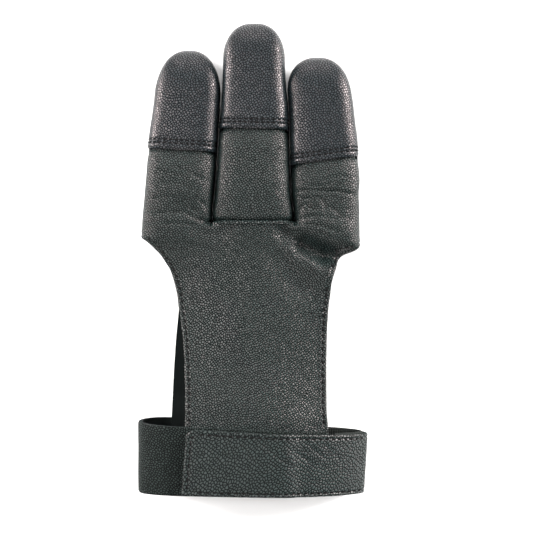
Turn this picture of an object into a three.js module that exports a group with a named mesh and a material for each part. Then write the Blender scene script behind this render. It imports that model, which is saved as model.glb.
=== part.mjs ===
// A three-finger leather archery glove, lying on its back with the palm side up.
//
// The palm panel carries the fronts of the ring and index fingers. The middle finger's front is a
// piece of its own, set in with a seam across the finger's base. The back panel lies on the surface
// and carries the backs of all three fingers. Each fingertip has a thicker cap lapped over the
// finger's front. Below the fingers the panels are joined by no seam, so the hand passes through,
// and both end inside a wrist band: a leather strap, a length of elastic webbing and a closing tab.
//
// Millimetres. +Y runs to the fingertips, +Z up out of the palm, and the origin is on the surface
// at the middle of the glove's box.
import * as THREE from "three";

// Lengths and widths, seen from the palm side.
const GLOVE_LENGTH = 208.3;
const MIDDLE_FINGER_LENGTH = 87.7;
const RING_FINGER_LENGTH = 75.7;
const INDEX_FINGER_LENGTH = 72.6;
const MIDDLE_FINGER_WIDTH = 30.8;
const RING_FINGER_WIDTH = 30.3;
const INDEX_FINGER_WIDTH = 30.1;
const FINGER_GAP = 0.6;
const MIDDLE_TIP_LENGTH = 16.4;
const RING_TIP_LENGTH = 19.5;
const INDEX_TIP_LENGTH = 16.4;
const MIDDLE_CAP_LENGTH = 47.5;
const RING_CAP_LENGTH = 44.8;
const INDEX_CAP_LENGTH = 46.2;
const PALM_WRIST_WIDTH = 62.2;
const PALM_WRIST_OFFSET = 1.4;
const BACK_WRIST_WIDTH = 56;
const BACK_WRIST_OFFSET = -9;

// Heights above the surface.
const FINGER_THICKNESS = 21;
const SEAM_HEIGHT = 9;
const PALM_HEIGHT = 19.6;

// The wrist band.
const BAND_WIDTH = 99.3;
const BAND_OFFSET = -1.1;
const BAND_DEPTH = 28;
const STRAP_WIDTH = 30.3;
const BAND_DROP = 1.8;
const BAND_NARROWING = 2.8;
const BAND_TAPER = 1.6;
const BAND_BACK_RISE = 1.2;
const TAB_LENGTH = 77.4;
const TAB_WRAP = 7;
const TAB_END_SLANT = 2;
const TAB_CORNER = 2.4;
const TAB_RAISE = 1;
const TAB_NARROWING = 1.5;
const PAD_LENGTH = 42;
const ELASTIC_LAP = 8;
const PANEL_INSET = 4;

// Thicknesses and clearances.
const LEATHER = 1.2;
const CAP_LEATHER = 1.2;
const STRAP_LEATHER = 1.8;
const TAB_LEATHER = 1.8;
const ELASTIC = 1.4;
const PAD = 1.3;
const CLEARANCE = 0.35;
const CAP_LAP = 7;
const HEM_THICKNESS = 2;

// Shape numbers that have no length.
const FRONT_SQUARENESS = 4;
const BACK_SQUARENESS = 3;
const TIP_ROUNDNESS = 2.2;
const TIP_FLAT_SHARE = 0.2;
const DIMPLE_SHARE = 0.16;
const TAPER_TOP_SHARE = 0.85;
const TAPER_START_SHARE = 0.75;

// The middle finger's two edges, as shares of its width. "at" runs from the base seam to the tip.
const MIDDLE_EDGES = [
  { at: 0, left: -0.592, right: 0.572 },
  { at: 0.08, left: -0.575, right: 0.552 },
  { at: 0.155, left: -0.548, right: 0.525 },
  { at: 0.31, left: -0.512, right: 0.508 },
  { at: 0.46, left: -0.497, right: 0.503 },
  { at: 0.56, left: -0.474, right: 0.495 },
  { at: 0.71, left: -0.451, right: 0.458 },
  { at: 0.81, left: -0.442, right: 0.448 },
  { at: 1, left: -0.436, right: 0.44 },
];

// The outer fingers' widths and their gap to the middle finger, as shares of the named sizes.
const RING_WIDTHS = [
  { at: 0, width: 1.01, gap: 1 },
  { at: 0.12, width: 1, gap: 1.3 },
  { at: 0.25, width: 1, gap: 1.6 },
  { at: 0.42, width: 1.003, gap: 1.3 },
  { at: 0.58, width: 0.983, gap: 0.9 },
  { at: 0.72, width: 0.96, gap: 1.1 },
  { at: 1, width: 0.895, gap: 2.6 },
];
const INDEX_WIDTHS = [
  { at: 0, width: 0.949, gap: 0.9 },
  { at: 0.12, width: 0.966, gap: 1.1 },
  { at: 0.25, width: 0.997, gap: 1.3 },
  { at: 0.4, width: 0.997, gap: 1 },
  { at: 0.6, width: 0.965, gap: 0.6 },
  { at: 0.76, width: 0.942, gap: 0.6 },
  { at: 1, width: 0.905, gap: 1.2 },
];

// The palm panel's edges from the finger base (0) to the strap (1): 0 is the width across the
// fingers, 1 the width at the wrist.
const PALM_EDGES = [
  { at: 0, left: 0, right: 0 },
  { at: 0.085, left: -0.015, right: -0.005 },
  { at: 0.105, left: 0.1, right: -0.008 },
  { at: 0.13, left: 0.235, right: -0.01 },
  { at: 0.145, left: 0.3, right: 0.065 },
  { at: 0.16, left: 0.374, right: 0.26 },
  { at: 0.176, left: 0.43, right: 0.53 },
  { at: 0.203, left: 0.51, right: 0.67 },
  { at: 0.24, left: 0.62, right: 0.734 },
  { at: 0.28, left: 0.69, right: 0.827 },
  { at: 0.32, left: 0.745, right: 0.89 },
  { at: 0.365, left: 0.795, right: 0.92 },
  { at: 0.425, left: 0.83, right: 0.97 },
  { at: 0.5, left: 0.884, right: 1.005 },
  { at: 0.6, left: 0.94, right: 1.03 },
  { at: 0.75, left: 0.98, right: 1.04 },
  { at: 0.93, left: 0.998, right: 1.035 },
  { at: 1, left: 1, right: 1 },
];

// The same for the back panel, which is wider than the palm panel at the left and narrower at the right.
const BACK_EDGES = [
  { at: 0, left: 0, right: 0 },
  { at: 0.085, left: 0.02, right: 0.01 },
  { at: 0.13, left: 0.44, right: 0.03 },
  { at: 0.176, left: 0.78, right: 0.3 },
  { at: 0.24, left: 1.1, right: 0.5 },
  { at: 0.32, left: 1.28, right: 0.68 },
  { at: 0.425, left: 1.26, right: 0.82 },
  { at: 0.6, left: 1.15, right: 0.94 },
  { at: 0.8, left: 1.06, right: 0.99 },
  { at: 1, left: 1, right: 1 },
];

// The palm panel's height along its middle: 0 is PALM_HEIGHT, 1 the inside of the band. The droop
// of its free edges is a share of PALM_HEIGHT, and "free" says how far each edge has left the seam.
const PALM_HEIGHTS = [
  { at: 0, rise: 0, droop: 0.03, freeLeft: 0, freeRight: 0 },
  { at: 0.085, rise: -0.15, droop: 0.05, freeLeft: 0, freeRight: 0 },
  { at: 0.13, rise: -0.25, droop: 0.07, freeLeft: 0.35, freeRight: 0.1 },
  { at: 0.176, rise: -0.3, droop: 0.09, freeLeft: 0.65, freeRight: 0.6 },
  { at: 0.24, rise: -0.3, droop: 0.12, freeLeft: 0.9, freeRight: 0.9 },
  { at: 0.32, rise: -0.25, droop: 0.14, freeLeft: 1, freeRight: 1 },
  { at: 0.5, rise: 0, droop: 0.14, freeLeft: 1, freeRight: 1 },
  { at: 0.7, rise: 0.3, droop: 0.11, freeLeft: 1, freeRight: 1 },
  { at: 0.86, rise: 0.68, droop: 0.06, freeLeft: 1, freeRight: 1 },
  { at: 1, rise: 1, droop: 0.03, freeLeft: 1, freeRight: 1 },
];

// Folds and hollows of the palm panel. x is a share of the width across the fingers from their
// middle, y a share of the palm's length down from the finger base, width and rise shares of
// FINGER_THICKNESS. A negative rise is a valley.
const FOLDS = [
  { x1: 0.15, y1: 0.06, x2: 0.235, y2: 0.122, width: 0.17, rise: -0.15 },
  { x1: 0.235, y1: 0.122, x2: 0.335, y2: 0.17, width: 0.18, rise: -0.24 },
  { x1: 0.335, y1: 0.17, x2: 0.43, y2: 0.178, width: 0.18, rise: -0.24 },
  { x1: 0.19, y1: 0.155, x2: 0.35, y2: 0.28, width: 0.2, rise: 0.08 },
  { x1: 0.115, y1: 0.05, x2: 0.15, y2: 0.2, width: 0.3, rise: -0.05 },
  { x1: 0.15, y1: 0.2, x2: 0.23, y2: 0.33, width: 0.3, rise: -0.05 },
  { x1: 0.33, y1: 0.02, x2: 0.42, y2: 0.04, width: 0.36, rise: 0.06 },
  { x1: 0.21, y1: -0.142, x2: 0.46, y2: -0.132, width: 0.14, rise: -0.05 },
  { x1: -0.3, y1: -0.09, x2: -0.27, y2: -0.06, width: 0.24, rise: -0.07 },
  { x1: -0.22, y1: 0.045, x2: -0.14, y2: 0.055, width: 0.26, rise: -0.07 },
  { x1: -0.3, y1: 0.8, x2: -0.06, y2: 0.98, width: 0.5, rise: 0.07 },
];

// The band's loop seen along the hand, as shares of its width and depth, going round from the
// right end over the front to the left end and back along the surface.
const LOOP = [
  { x: 0.5, z: 0.29 },
  { x: 0.468, z: 0.44 },
  { x: 0.385, z: 0.64 },
  { x: 0.26, z: 0.83 },
  { x: 0.12, z: 0.955 },
  { x: -0.04, z: 1 },
  { x: -0.24, z: 1 },
  { x: -0.39, z: 0.96 },
  { x: -0.476, z: 0.8 },
  { x: -0.5, z: 0.55 },
  { x: -0.472, z: 0.22 },
  { x: -0.41, z: 0.045 },
  { x: -0.32, z: 0 },
  { x: -0.16, z: 0 },
  { x: 0, z: 0 },
  { x: 0.16, z: 0 },
  { x: 0.32, z: 0 },
  { x: 0.42, z: 0.035 },
  { x: 0.482, z: 0.135 },
];

// Where a finger's front steps down under its cap: rows as shares of CAP_LAP from the cap's edge,
// and how much of the step each has taken at the finger's sides and at its top.
const STEP_ROWS = [
  { from: 1, side: 1, top: 1 },
  { from: -0.05, side: 1, top: 1 },
  { from: -0.14, side: 0.65, top: 0.86 },
  { from: -0.24, side: 0.25, top: 0.77 },
  { from: -0.7, side: 0.1, top: 0.31 },
  { from: -1.25, side: 0, top: 0 },
];

// How finely the surfaces are cut into facets.
const COLUMNS = 12;
const BACK_COLUMNS = 8;
const FINGER_STATIONS = [0, 0.04, 0.1, 0.2, 0.32];
const TIP_STEPS = 6;
const PALM_STATIONS = [
  0, 0.018, 0.038, 0.06, 0.085, 0.105, 0.13, 0.145, 0.16, 0.176, 0.203, 0.24, 0.28, 0.32, 0.365, 0.425, 0.5,
  0.6, 0.7, 0.78, 0.86, 0.93,
];
const BACK_STATIONS = [0, 0.038, 0.085, 0.13, 0.176, 0.24, 0.32, 0.425, 0.6, 0.8, 0.92];
const LOOP_SAMPLES = 900;
const SECTION_SAMPLES = 2400;

// Levels that follow from the sizes above.
const tipY = GLOVE_LENGTH / 2;
const baseY = tipY - MIDDLE_FINGER_LENGTH;
const bandLowY = -GLOVE_LENGTH / 2;
const strapTopY = bandLowY + BAND_DROP + STRAP_WIDTH;
const palmLength = baseY - strapTopY;
const frontSeamZ = SEAM_HEIGHT + CLEARANCE / 2;
const backSeamZ = SEAM_HEIGHT - CLEARANCE / 2;

const mix = (a, b, share) => a + (b - a) * share;
const clamp = (value, low, high) => Math.min(Math.max(value, low), high);
const smooth = (share) => {
  const s = clamp(share, 0, 1);
  return s * s * (3 - 2 * s);
};

// The value of a named column of a table at a station, on a curve that never overshoots its rows.
function column(rows, name, at) {
  const last = rows.length - 1;
  if (at <= rows[0].at) return rows[0][name];
  if (at >= rows[last].at) return rows[last][name];
  let k = 0;
  while (rows[k + 1].at < at) k += 1;
  const steepness = (i) => (rows[i + 1][name] - rows[i][name]) / (rows[i + 1].at - rows[i].at);
  const slope = (i) => {
    if (i === 0) return steepness(0);
    if (i === last) return steepness(last - 1);
    const before = steepness(i - 1);
    const after = steepness(i);
    return before * after <= 0 ? 0 : (2 * before * after) / (before + after);
  };
  const span = rows[k + 1].at - rows[k].at;
  const t = (at - rows[k].at) / span;
  const start = (1 + 2 * t) * (1 - t) * (1 - t) * rows[k][name] + t * (1 - t) * (1 - t) * span * slope(k);
  const end = t * t * (3 - 2 * t) * rows[k + 1][name] - t * t * (1 - t) * span * slope(k + 1);
  return start + end;
}

// Each finger's own sizes. The outer fingers follow the middle finger's edges.
const middle = {
  length: MIDDLE_FINGER_LENGTH,
  tipLength: MIDDLE_TIP_LENGTH,
  capLength: MIDDLE_CAP_LENGTH,
  capSlope: -0.02,
  height: FINGER_THICKNESS,
  edges: (at) => ({
    left: column(MIDDLE_EDGES, "left", at) * MIDDLE_FINGER_WIDTH,
    right: column(MIDDLE_EDGES, "right", at) * MIDDLE_FINGER_WIDTH,
  }),
};
const besideMiddle = (at, length) => middle.edges((at * length) / MIDDLE_FINGER_LENGTH);
const ring = {
  length: RING_FINGER_LENGTH,
  tipLength: RING_TIP_LENGTH,
  capLength: RING_CAP_LENGTH,
  capSlope: -0.06,
  height: FINGER_THICKNESS * 0.97,
  edges: (at) => {
    const right = besideMiddle(at, RING_FINGER_LENGTH).left - column(RING_WIDTHS, "gap", at) * FINGER_GAP;
    return { left: right - column(RING_WIDTHS, "width", at) * RING_FINGER_WIDTH, right };
  },
};
const index = {
  length: INDEX_FINGER_LENGTH,
  tipLength: INDEX_TIP_LENGTH,
  capLength: INDEX_CAP_LENGTH,
  capSlope: 0.13,
  height: FINGER_THICKNESS * 0.97,
  edges: (at) => {
    const left = besideMiddle(at, INDEX_FINGER_LENGTH).right + column(INDEX_WIDTHS, "gap", at) * FINGER_GAP;
    return { left, right: left + column(INDEX_WIDTHS, "width", at) * INDEX_FINGER_WIDTH };
  },
};
const leftX = ring.edges(0).left;
const rightX = index.edges(0).right;
const knuckleWidth = rightX - leftX;
const knuckleX = (leftX + rightX) / 2;

// The band's loop: points, outward normals and the length run so far, going round it once.
const loop = (() => {
  const points = LOOP.map(({ x, z }) => new THREE.Vector3(x * BAND_WIDTH + BAND_OFFSET, 0, z * BAND_DEPTH));
  const curve = new THREE.CatmullRomCurve3(points, true, "centripetal");
  const samples = [];
  let length = 0;
  for (let i = 0; i <= LOOP_SAMPLES; i += 1) {
    const p = curve.getPoint(i / LOOP_SAMPLES);
    const tangent = curve.getTangent(i / LOOP_SAMPLES);
    p.z = Math.max(p.z, 0);
    if (i > 0) length += Math.hypot(p.x - samples[i - 1].x, p.z - samples[i - 1].z);
    samples.push({ x: p.x, z: p.z, nx: tangent.z, nz: -tangent.x, length });
  }
  return samples;
})();
const loopLength = loop[LOOP_SAMPLES].length;

// The loop's point at a length, which may run past its start or end.
function loopAt(length) {
  const wanted = ((length % loopLength) + loopLength) % loopLength;
  let k = 0;
  while (loop[k + 1].length < wanted) k += 1;
  const share = (wanted - loop[k].length) / (loop[k + 1].length - loop[k].length);
  const at = (name) => mix(loop[k][name], loop[k + 1][name], share);
  return { x: at("x"), z: at("z"), nx: at("nx"), nz: at("nz"), length: wanted };
}

// Where the loop passes a given x on its front (side 1) or on its back (side -1).
function loopAcross(x, side) {
  for (let k = 0; k < LOOP_SAMPLES; k += 1) {
    const [a, b] = [loop[k], loop[k + 1]];
    if (a.nz * side > 0.02 && (a.x - x) * (b.x - x) <= 0 && a.x !== b.x) {
      return loopAt(mix(a.length, b.length, (x - a.x) / (b.x - a.x)));
    }
  }
  throw new Error("the band doesn't reach x = " + x);
}

// The height that a panel may reach inside the strap, on the front or the back of the loop.
function insideBand(x, side) {
  const p = loopAcross(x, side);
  return p.z - (side * (STRAP_LEATHER + CLEARANCE * 1.5)) / Math.abs(p.nz);
}

// The band's lower and upper edge at x: it drops and narrows a little to the right.
const bandShare = (x) => (x - BAND_OFFSET) / BAND_WIDTH + 0.5;
const bandLow = (x) => bandLowY + BAND_DROP * (1 - bandShare(x));
const bandHigh = (x) => bandLow(x) + STRAP_WIDTH - BAND_NARROWING * bandShare(x);

// A point of the band. Its last quarter leans in below the tab's upper edge, and its back reaches a
// little nearer the fingers than its front.
function onBand(x, y, z) {
  const up = (y - bandLow(x)) / STRAP_WIDTH;
  const below = Math.max(1 - up / TAPER_TOP_SHARE, 0);
  const lean = BAND_TAPER * below * smooth((bandShare(x) - TAPER_START_SHARE) / (1 - TAPER_START_SHARE));
  return new THREE.Vector3(x - lean, y + BAND_BACK_RISE * (1 - z / BAND_DEPTH) * up, z);
}

// How far the folds move a point of the palm panel up or down: the deepest valley and the highest
// ridge that reach it. They are flat where the panel goes under the strap.
function foldRise(x, y) {
  const share = { x: (x - knuckleX) / knuckleWidth, y: (baseY - y) / palmLength };
  let valley = 0;
  let ridge = 0;
  for (const fold of FOLDS) {
    const run = { x: (fold.x2 - fold.x1) * knuckleWidth, y: (fold.y2 - fold.y1) * palmLength };
    const from = { x: (share.x - fold.x1) * knuckleWidth, y: (share.y - fold.y1) * palmLength };
    const t = clamp((from.x * run.x + from.y * run.y) / (run.x * run.x + run.y * run.y), 0, 1);
    const away = Math.hypot(from.x - run.x * t, from.y - run.y * t) / (fold.width * FINGER_THICKNESS);
    const rise = fold.rise * FINGER_THICKNESS * Math.exp(-away * away);
    valley = Math.min(valley, rise);
    ridge = Math.max(ridge, rise);
  }
  return (valley + ridge) * (1 - smooth((share.y - 0.88) / 0.12));
}

// The palm panel's left and right edge at a share of the palm's length.
const wrist = (width, offset) => ({ left: offset - width / 2, right: offset + width / 2 });
const palmWrist = wrist(PALM_WRIST_WIDTH, PALM_WRIST_OFFSET);
const backWrist = wrist(BACK_WRIST_WIDTH, BACK_WRIST_OFFSET);
const panelEdges = (rows, ends, at) => ({
  left: mix(leftX, ends.left, column(rows, "left", at)),
  right: mix(rightX, ends.right, column(rows, "right", at)),
});

// The palm panel's height at x, before the finger bases pull it down to the seams.
function palmArch(x, y) {
  const at = (baseY - y) / palmLength;
  const edges = panelEdges(PALM_EDGES, palmWrist, Math.max(at, 0));
  const centre = (edges.left + edges.right) / 2;
  const out = (x - centre) / ((edges.right - edges.left) / 2);
  const bandX = clamp(x, palmWrist.left, palmWrist.right);
  const inBand = insideBand(bandX, 1);
  const rise = column(PALM_HEIGHTS, "rise", Math.max(at, 0));
  const droop = column(PALM_HEIGHTS, "droop", Math.max(at, 0)) * PALM_HEIGHT;
  return mix(PALM_HEIGHT, inBand, rise) - droop * out * out * (1 - smooth((at - 0.86) / 0.12));
}

// A finger's cross-section: how far out and how far up each of its columns lies, 0 to 1. They stand
// at equal lengths along the section.
function sectionColumns(count, squareness) {
  const half = SECTION_SAMPLES / 2;
  const samples = [{ out: 0, up: 1, length: 0 }];
  for (let i = 1; i <= half; i += 1) {
    const angle = (Math.PI / 2) * (i / half);
    const out = Math.sin(angle) ** (2 / squareness);
    const up = i === half ? 0 : Math.cos(angle) ** (2 / squareness);
    const last = samples[i - 1];
    samples.push({ out, up, length: last.length + Math.hypot(out - last.out, up - last.up) });
  }
  return Array.from({ length: count + 1 }, (_, i) => {
    const side = (2 * i) / count - 1;
    const wanted = Math.abs(side) * samples[half].length;
    const k = Math.min(samples.findIndex((s) => s.length >= wanted - 1e-9), half);
    return { out: Math.sign(side) * samples[k].out, up: samples[k].up };
  });
}
const frontColumns = sectionColumns(COLUMNS, FRONT_SQUARENESS);
const backColumns = sectionColumns(BACK_COLUMNS, BACK_SQUARENESS);

// A finger's cross-section rounds off over the tip length: the factor for its width and its height.
function tipFactors(finger, y) {
  const into = (y - (baseY + finger.length - finger.tipLength)) / finger.tipLength;
  if (into <= 0) return { width: 1, height: 1 };
  const left = 1 - Math.min(into, 1) ** TIP_ROUNDNESS;
  const factor = left ** (1 / TIP_ROUNDNESS);
  return { width: Math.max(factor, TIP_FLAT_SHARE), height: factor };
}

// One row of points across a finger's front at y, drawn in at its sides and down at its top.
function fingerFrontRow(finger, y, inset = { side: 0, top: 0 }) {
  const at = (y - baseY) / finger.length;
  const edges = finger.edges(clamp(at, 0, 1));
  const factor = tipFactors(finger, y);
  const centre = (edges.left + edges.right) / 2;
  const half = Math.max(((edges.right - edges.left) / 2) * factor.width - inset.side, 0.5);
  const full = smooth(at / 0.2);
  return frontColumns.map(({ out, up }) => {
    const x = centre + half * out;
    const crown = mix(palmArch(x, baseY), finger.height, full) + foldRise(x, y) * (1 - full) - inset.top;
    const height = Math.max(crown - frontSeamZ, 0.2) * factor.height;
    return new THREE.Vector3(x, y, frontSeamZ + height * up);
  });
}

// One row across a finger's back. Its underside is flat where it lies on the surface.
function fingerBackRow(finger, y) {
  const edges = finger.edges(clamp((y - baseY) / finger.length, 0, 1));
  const factor = tipFactors(finger, y);
  const centre = (edges.left + edges.right) / 2;
  const half = ((edges.right - edges.left) / 2) * factor.width;
  return backColumns.map(({ out, up }) => {
    const depth = backSeamZ * 1.06 * factor.height * up;
    return new THREE.Vector3(centre + half * out, y, Math.max(backSeamZ - depth, 0));
  });
}

// The stations of a finger's rounded tip, closer together towards its end.
function tipStations(finger) {
  return Array.from({ length: TIP_STEPS + 1 }, (_, i) => {
    const turn = (Math.PI / 2) * (i / TIP_STEPS);
    return baseY + finger.length - finger.tipLength * (1 - Math.sin(turn));
  });
}

// Where a cap's lower edge crosses a finger at x: its middle, and how it slopes across the finger.
function capEdgeY(finger, x) {
  const y = baseY + finger.length - finger.capLength;
  const edges = finger.edges((y - baseY) / finger.length);
  return y + finger.capSlope * (x - (edges.left + edges.right) / 2);
}

// Turns rows of points into one closed solid: their quads are the outer face, a second face lies
// one thickness behind it, and walls join the two round every free edge. Points that meet are
// shared. "settle" may move a point of the inner face, so that it keeps clear of the next piece.
function leatherSheet(patches, { thickness, facesUp, settle }) {
  const outer = [];
  const known = new Map();
  // The 0.3 keeps the sizes' own round numbers away from the places where rounding turns over.
  const share = (p) => {
    const key = [p.x, p.y, p.z].map((v) => Math.round(v * 1e3 + 0.3)).join(",");
    if (!known.has(key)) {
      known.set(key, outer.length);
      outer.push(p);
    }
    return known.get(key);
  };
  const faces = [];
  const addFace = (a, b, c) => {
    if (a === b || b === c || c === a) return;
    faces.push(facesUp ? [a, b, c] : [a, c, b]);
  };
  for (const rows of patches) {
    for (let r = 0; r + 1 < rows.length; r += 1) {
      for (let c = 0; c + 1 < rows[r].length; c += 1) {
        const [a, b] = [share(rows[r][c]), share(rows[r][c + 1])];
        const [d, e] = [share(rows[r + 1][c]), share(rows[r + 1][c + 1])];
        if (outer[a].distanceTo(outer[e]) < outer[b].distanceTo(outer[d])) {
          addFace(a, d, e);
          addFace(a, e, b);
        } else {
          addFace(a, d, b);
          addFace(b, d, e);
        }
      }
    }
  }
  const normals = outer.map(() => new THREE.Vector3());
  for (const [a, b, c] of faces) {
    const ab = outer[b].clone().sub(outer[a]);
    const ac = outer[c].clone().sub(outer[a]);
    const normal = ab.cross(ac).normalize();
    for (const i of [a, b, c]) normals[i].add(normal);
  }
  const inner = outer.map((p, i) => {
    const depth = typeof thickness === "function" ? thickness(p) : thickness;
    const q = p.clone().addScaledVector(normals[i].normalize(), -depth);
    if (settle) settle(q, p);
    return q;
  });
  const count = outer.length;
  const triangles = faces.flatMap(([a, b, c]) => [a, b, c, a + count, c + count, b + count]);
  const halfEdges = new Set(faces.flatMap(([a, b, c]) => [`${a},${b}`, `${b},${c}`, `${c},${a}`]));
  for (const edge of halfEdges) {
    const [a, b] = edge.split(",").map(Number);
    if (halfEdges.has(`${b},${a}`)) continue;
    triangles.push(b, a, a + count, b, a + count, b + count);
  }
  const geometry = new THREE.BufferGeometry();
  const positions = [...outer, ...inner].flatMap((p) => [p.x, p.y, p.z]);
  geometry.setAttribute("position", new THREE.Float32BufferAttribute(positions, 3));
  geometry.setIndex(triangles);
  geometry.computeVertexNormals();
  return geometry;
}

// Keeps the inner face of a front piece above the side seams, and of a back piece below them.
const aboveSeam = (inner, outer) => {
  if (outer.y >= baseY || outer.z < frontSeamZ + 0.01) inner.z = Math.max(inner.z, frontSeamZ);
};
const belowSeam = (inner, outer) => {
  if (outer.z > backSeamZ - 0.01) inner.z = Math.min(inner.z, backSeamZ);
};

// The rows of the palm panel's lower part. Its columns are those of the three fingers side by side,
// so they meet the finger fronts at the finger base, where deep dimples run down to the seams.
function palmRows() {
  const lowEnd = bandLow(0) + PANEL_INSET;
  const levels = [
    ...PALM_STATIONS.map((at) => baseY - at * palmLength),
    strapTopY,
    mix(strapTopY, lowEnd, 0.4),
    lowEnd,
  ];
  const spans = [
    { edges: ring.edges(0), side: "left" },
    { edges: { left: ring.edges(0).right, right: index.edges(0).left }, side: "none" },
    { edges: index.edges(0), side: "right" },
  ];
  return levels.map((y) => {
    const at = (baseY - y) / palmLength;
    const edges = panelEdges(PALM_EDGES, palmWrist, at);
    const leftWall = column(PALM_HEIGHTS, "freeLeft", at);
    const rightWall = column(PALM_HEIGHTS, "freeRight", at);
    const dimple = smooth((at * palmLength) / (FINGER_THICKNESS * DIMPLE_SHARE));
    const groove = LEATHER * Math.exp(-(at * palmLength) / (LEATHER * 2));
    const row = [];
    spans.forEach(({ edges: span, side }, s) => {
      frontColumns.forEach(({ out, up }, i) => {
        if (s > 0 && i === 0) return;
        const baseX = mix(span.left, span.right, (out + 1) / 2);
        const x = mix(edges.left, edges.right, (baseX - leftX) / knuckleWidth);
        let loose = dimple;
        if (side === "left" && out < 0) loose = leftWall;
        if (side === "right" && out > 0) loose = rightWall;
        const arch = palmArch(x, y) + foldRise(x, y);
        const inMiddle = side === "none" ? groove * up : 0;
        const pulled = frontSeamZ + (arch - inMiddle - frontSeamZ) * up;
        row.push(new THREE.Vector3(x, y, mix(pulled, arch, loose)));
      });
    });
    return row;
  });
}

// The rows of a finger's front that step down under its cap, along the cap's sloping edge.
function rowsBelowCap(finger) {
  const edge = baseY + finger.length - finger.capLength;
  const step = CAP_LEATHER + CLEARANCE;
  return STEP_ROWS.map(({ from, side, top }) => {
    const row = fingerFrontRow(finger, edge + from * CAP_LAP, { side: side * step, top: top * step });
    for (const p of row) p.y += capEdgeY(finger, p.x) - edge;
    return row;
  });
}

// A finger's front from under its cap down to a level near the finger base.
function fingerRows(finger, lowest) {
  const edge = baseY + finger.length - finger.capLength;
  const levels = FINGER_STATIONS.map((at) => baseY + at * finger.length);
  const stepEnd = edge + STEP_ROWS[STEP_ROWS.length - 1].from * CAP_LAP;
  const clear = levels.filter((y) => y > lowest && y < stepEnd - LEATHER);
  const below = [...clear.reverse(), lowest].map((y) => fingerFrontRow(finger, y));
  return [...rowsBelowCap(finger), ...below];
}

// The palm panel is folded under along its two free edges, which makes them thicker.
function palmThickness(p) {
  const at = (baseY - p.y) / palmLength;
  if (at < 0.2) return LEATHER;
  const edges = panelEdges(PALM_EDGES, palmWrist, at);
  const fromEdge = Math.min(p.x - edges.left, edges.right - p.x);
  return fromEdge < 0.1 ? HEM_THICKNESS : LEATHER;
}
function palmPanel() {
  return leatherSheet([fingerRows(ring, baseY), fingerRows(index, baseY), palmRows()], {
    thickness: palmThickness,
    facesUp: true,
    settle: aboveSeam,
  });
}

// The middle finger's front, from under its cap down to the seam across its base, where it is
// drawn down into a groove.
function middleFingerFront() {
  const base = baseY + CLEARANCE;
  const rows = fingerRows(middle, base);
  rows.splice(-1, 0, fingerFrontRow(middle, base + LEATHER));
  for (const p of rows.slice(-4).flat()) {
    const up = (p.z - frontSeamZ) / (middle.height - frontSeamZ);
    p.z -= LEATHER * Math.exp(-(p.y - base) / (LEATHER * 2)) * up;
  }
  return leatherSheet([rows], { thickness: LEATHER, facesUp: true, settle: aboveSeam });
}

// A cap: the outermost layer of a fingertip, from its sloping lower edge over the tip to the seam.
function fingertipCap(finger) {
  const rounded = tipStations(finger);
  const edge = baseY + finger.length - finger.capLength;
  const straight = [0, 0.5].map((share) => mix(edge, rounded[0], share));
  const rows = [...straight, ...rounded].map((y, r) => {
    const row = fingerFrontRow(finger, y);
    const slide = r === 0 ? 1 : 0;
    for (const p of row) p.y += slide * (capEdgeY(finger, p.x) - edge);
    return row;
  });
  return leatherSheet([rows.reverse()], { thickness: CAP_LEATHER, facesUp: true, settle: aboveSeam });
}

// The back panel: three finger backs with slits between them, and one sheet on down to the wrist.
function backPanel() {
  const backRows = (finger) => {
    const straight = FINGER_STATIONS.map((at) => baseY + at * finger.length);
    const rounded = tipStations(finger);
    const half = mix(straight[straight.length - 1], rounded[0], 0.5);
    return [...straight, half, ...rounded].reverse().map((y) => fingerBackRow(finger, y));
  };
  const lowEnd = bandLow(0) + PANEL_INSET;
  const inBand = [strapTopY, mix(strapTopY, lowEnd, 0.5), lowEnd];
  const levels = [...BACK_STATIONS.map((at) => baseY - at * palmLength), ...inBand];
  const spans = [
    ring.edges(0),
    { left: ring.edges(0).right, right: index.edges(0).left },
    index.edges(0),
  ];
  const palm = levels.map((y) => {
    const at = (baseY - y) / palmLength;
    const edges = panelEdges(BACK_EDGES, backWrist, at);
    const settled = smooth((at * palmLength) / (FINGER_THICKNESS * DIMPLE_SHARE));
    const free = smooth((at - 0.085) / 0.12);
    const lift = smooth((at - 0.86) / 0.13);
    const row = [];
    spans.forEach((span, s) => {
      backColumns.forEach(({ out, up }, i) => {
        if (s > 0 && i === 0) return;
        const baseX = mix(span.left, span.right, (out + 1) / 2);
        const x = mix(edges.left, edges.right, (baseX - leftX) / knuckleWidth);
        const outside = (s === 0 && out < 0) || (s === 2 && out > 0);
        const depth = Math.min(1.06 * up, 1);
        const pulled = backSeamZ * (1 - depth);
        const flat = mix(0, insideBand(clamp(x, backWrist.left, backWrist.right), -1), lift);
        row.push(new THREE.Vector3(x, y, mix(pulled, flat, outside ? free : settled)));
      });
    });
    return row;
  });
  // The middle finger's slits end at the same points as the outer fingers' ones.
  const middleRows = backRows(middle);
  const lowest = middleRows[middleRows.length - 1];
  const crotch = palm[0].slice(BACK_COLUMNS, 2 * BACK_COLUMNS + 1);
  lowest.forEach((p, i) => p.copy(crotch[i]));
  return leatherSheet([backRows(ring), middleRows, backRows(index), palm], {
    thickness: LEATHER,
    facesUp: false,
    settle: belowSeam,
  });
}

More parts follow.
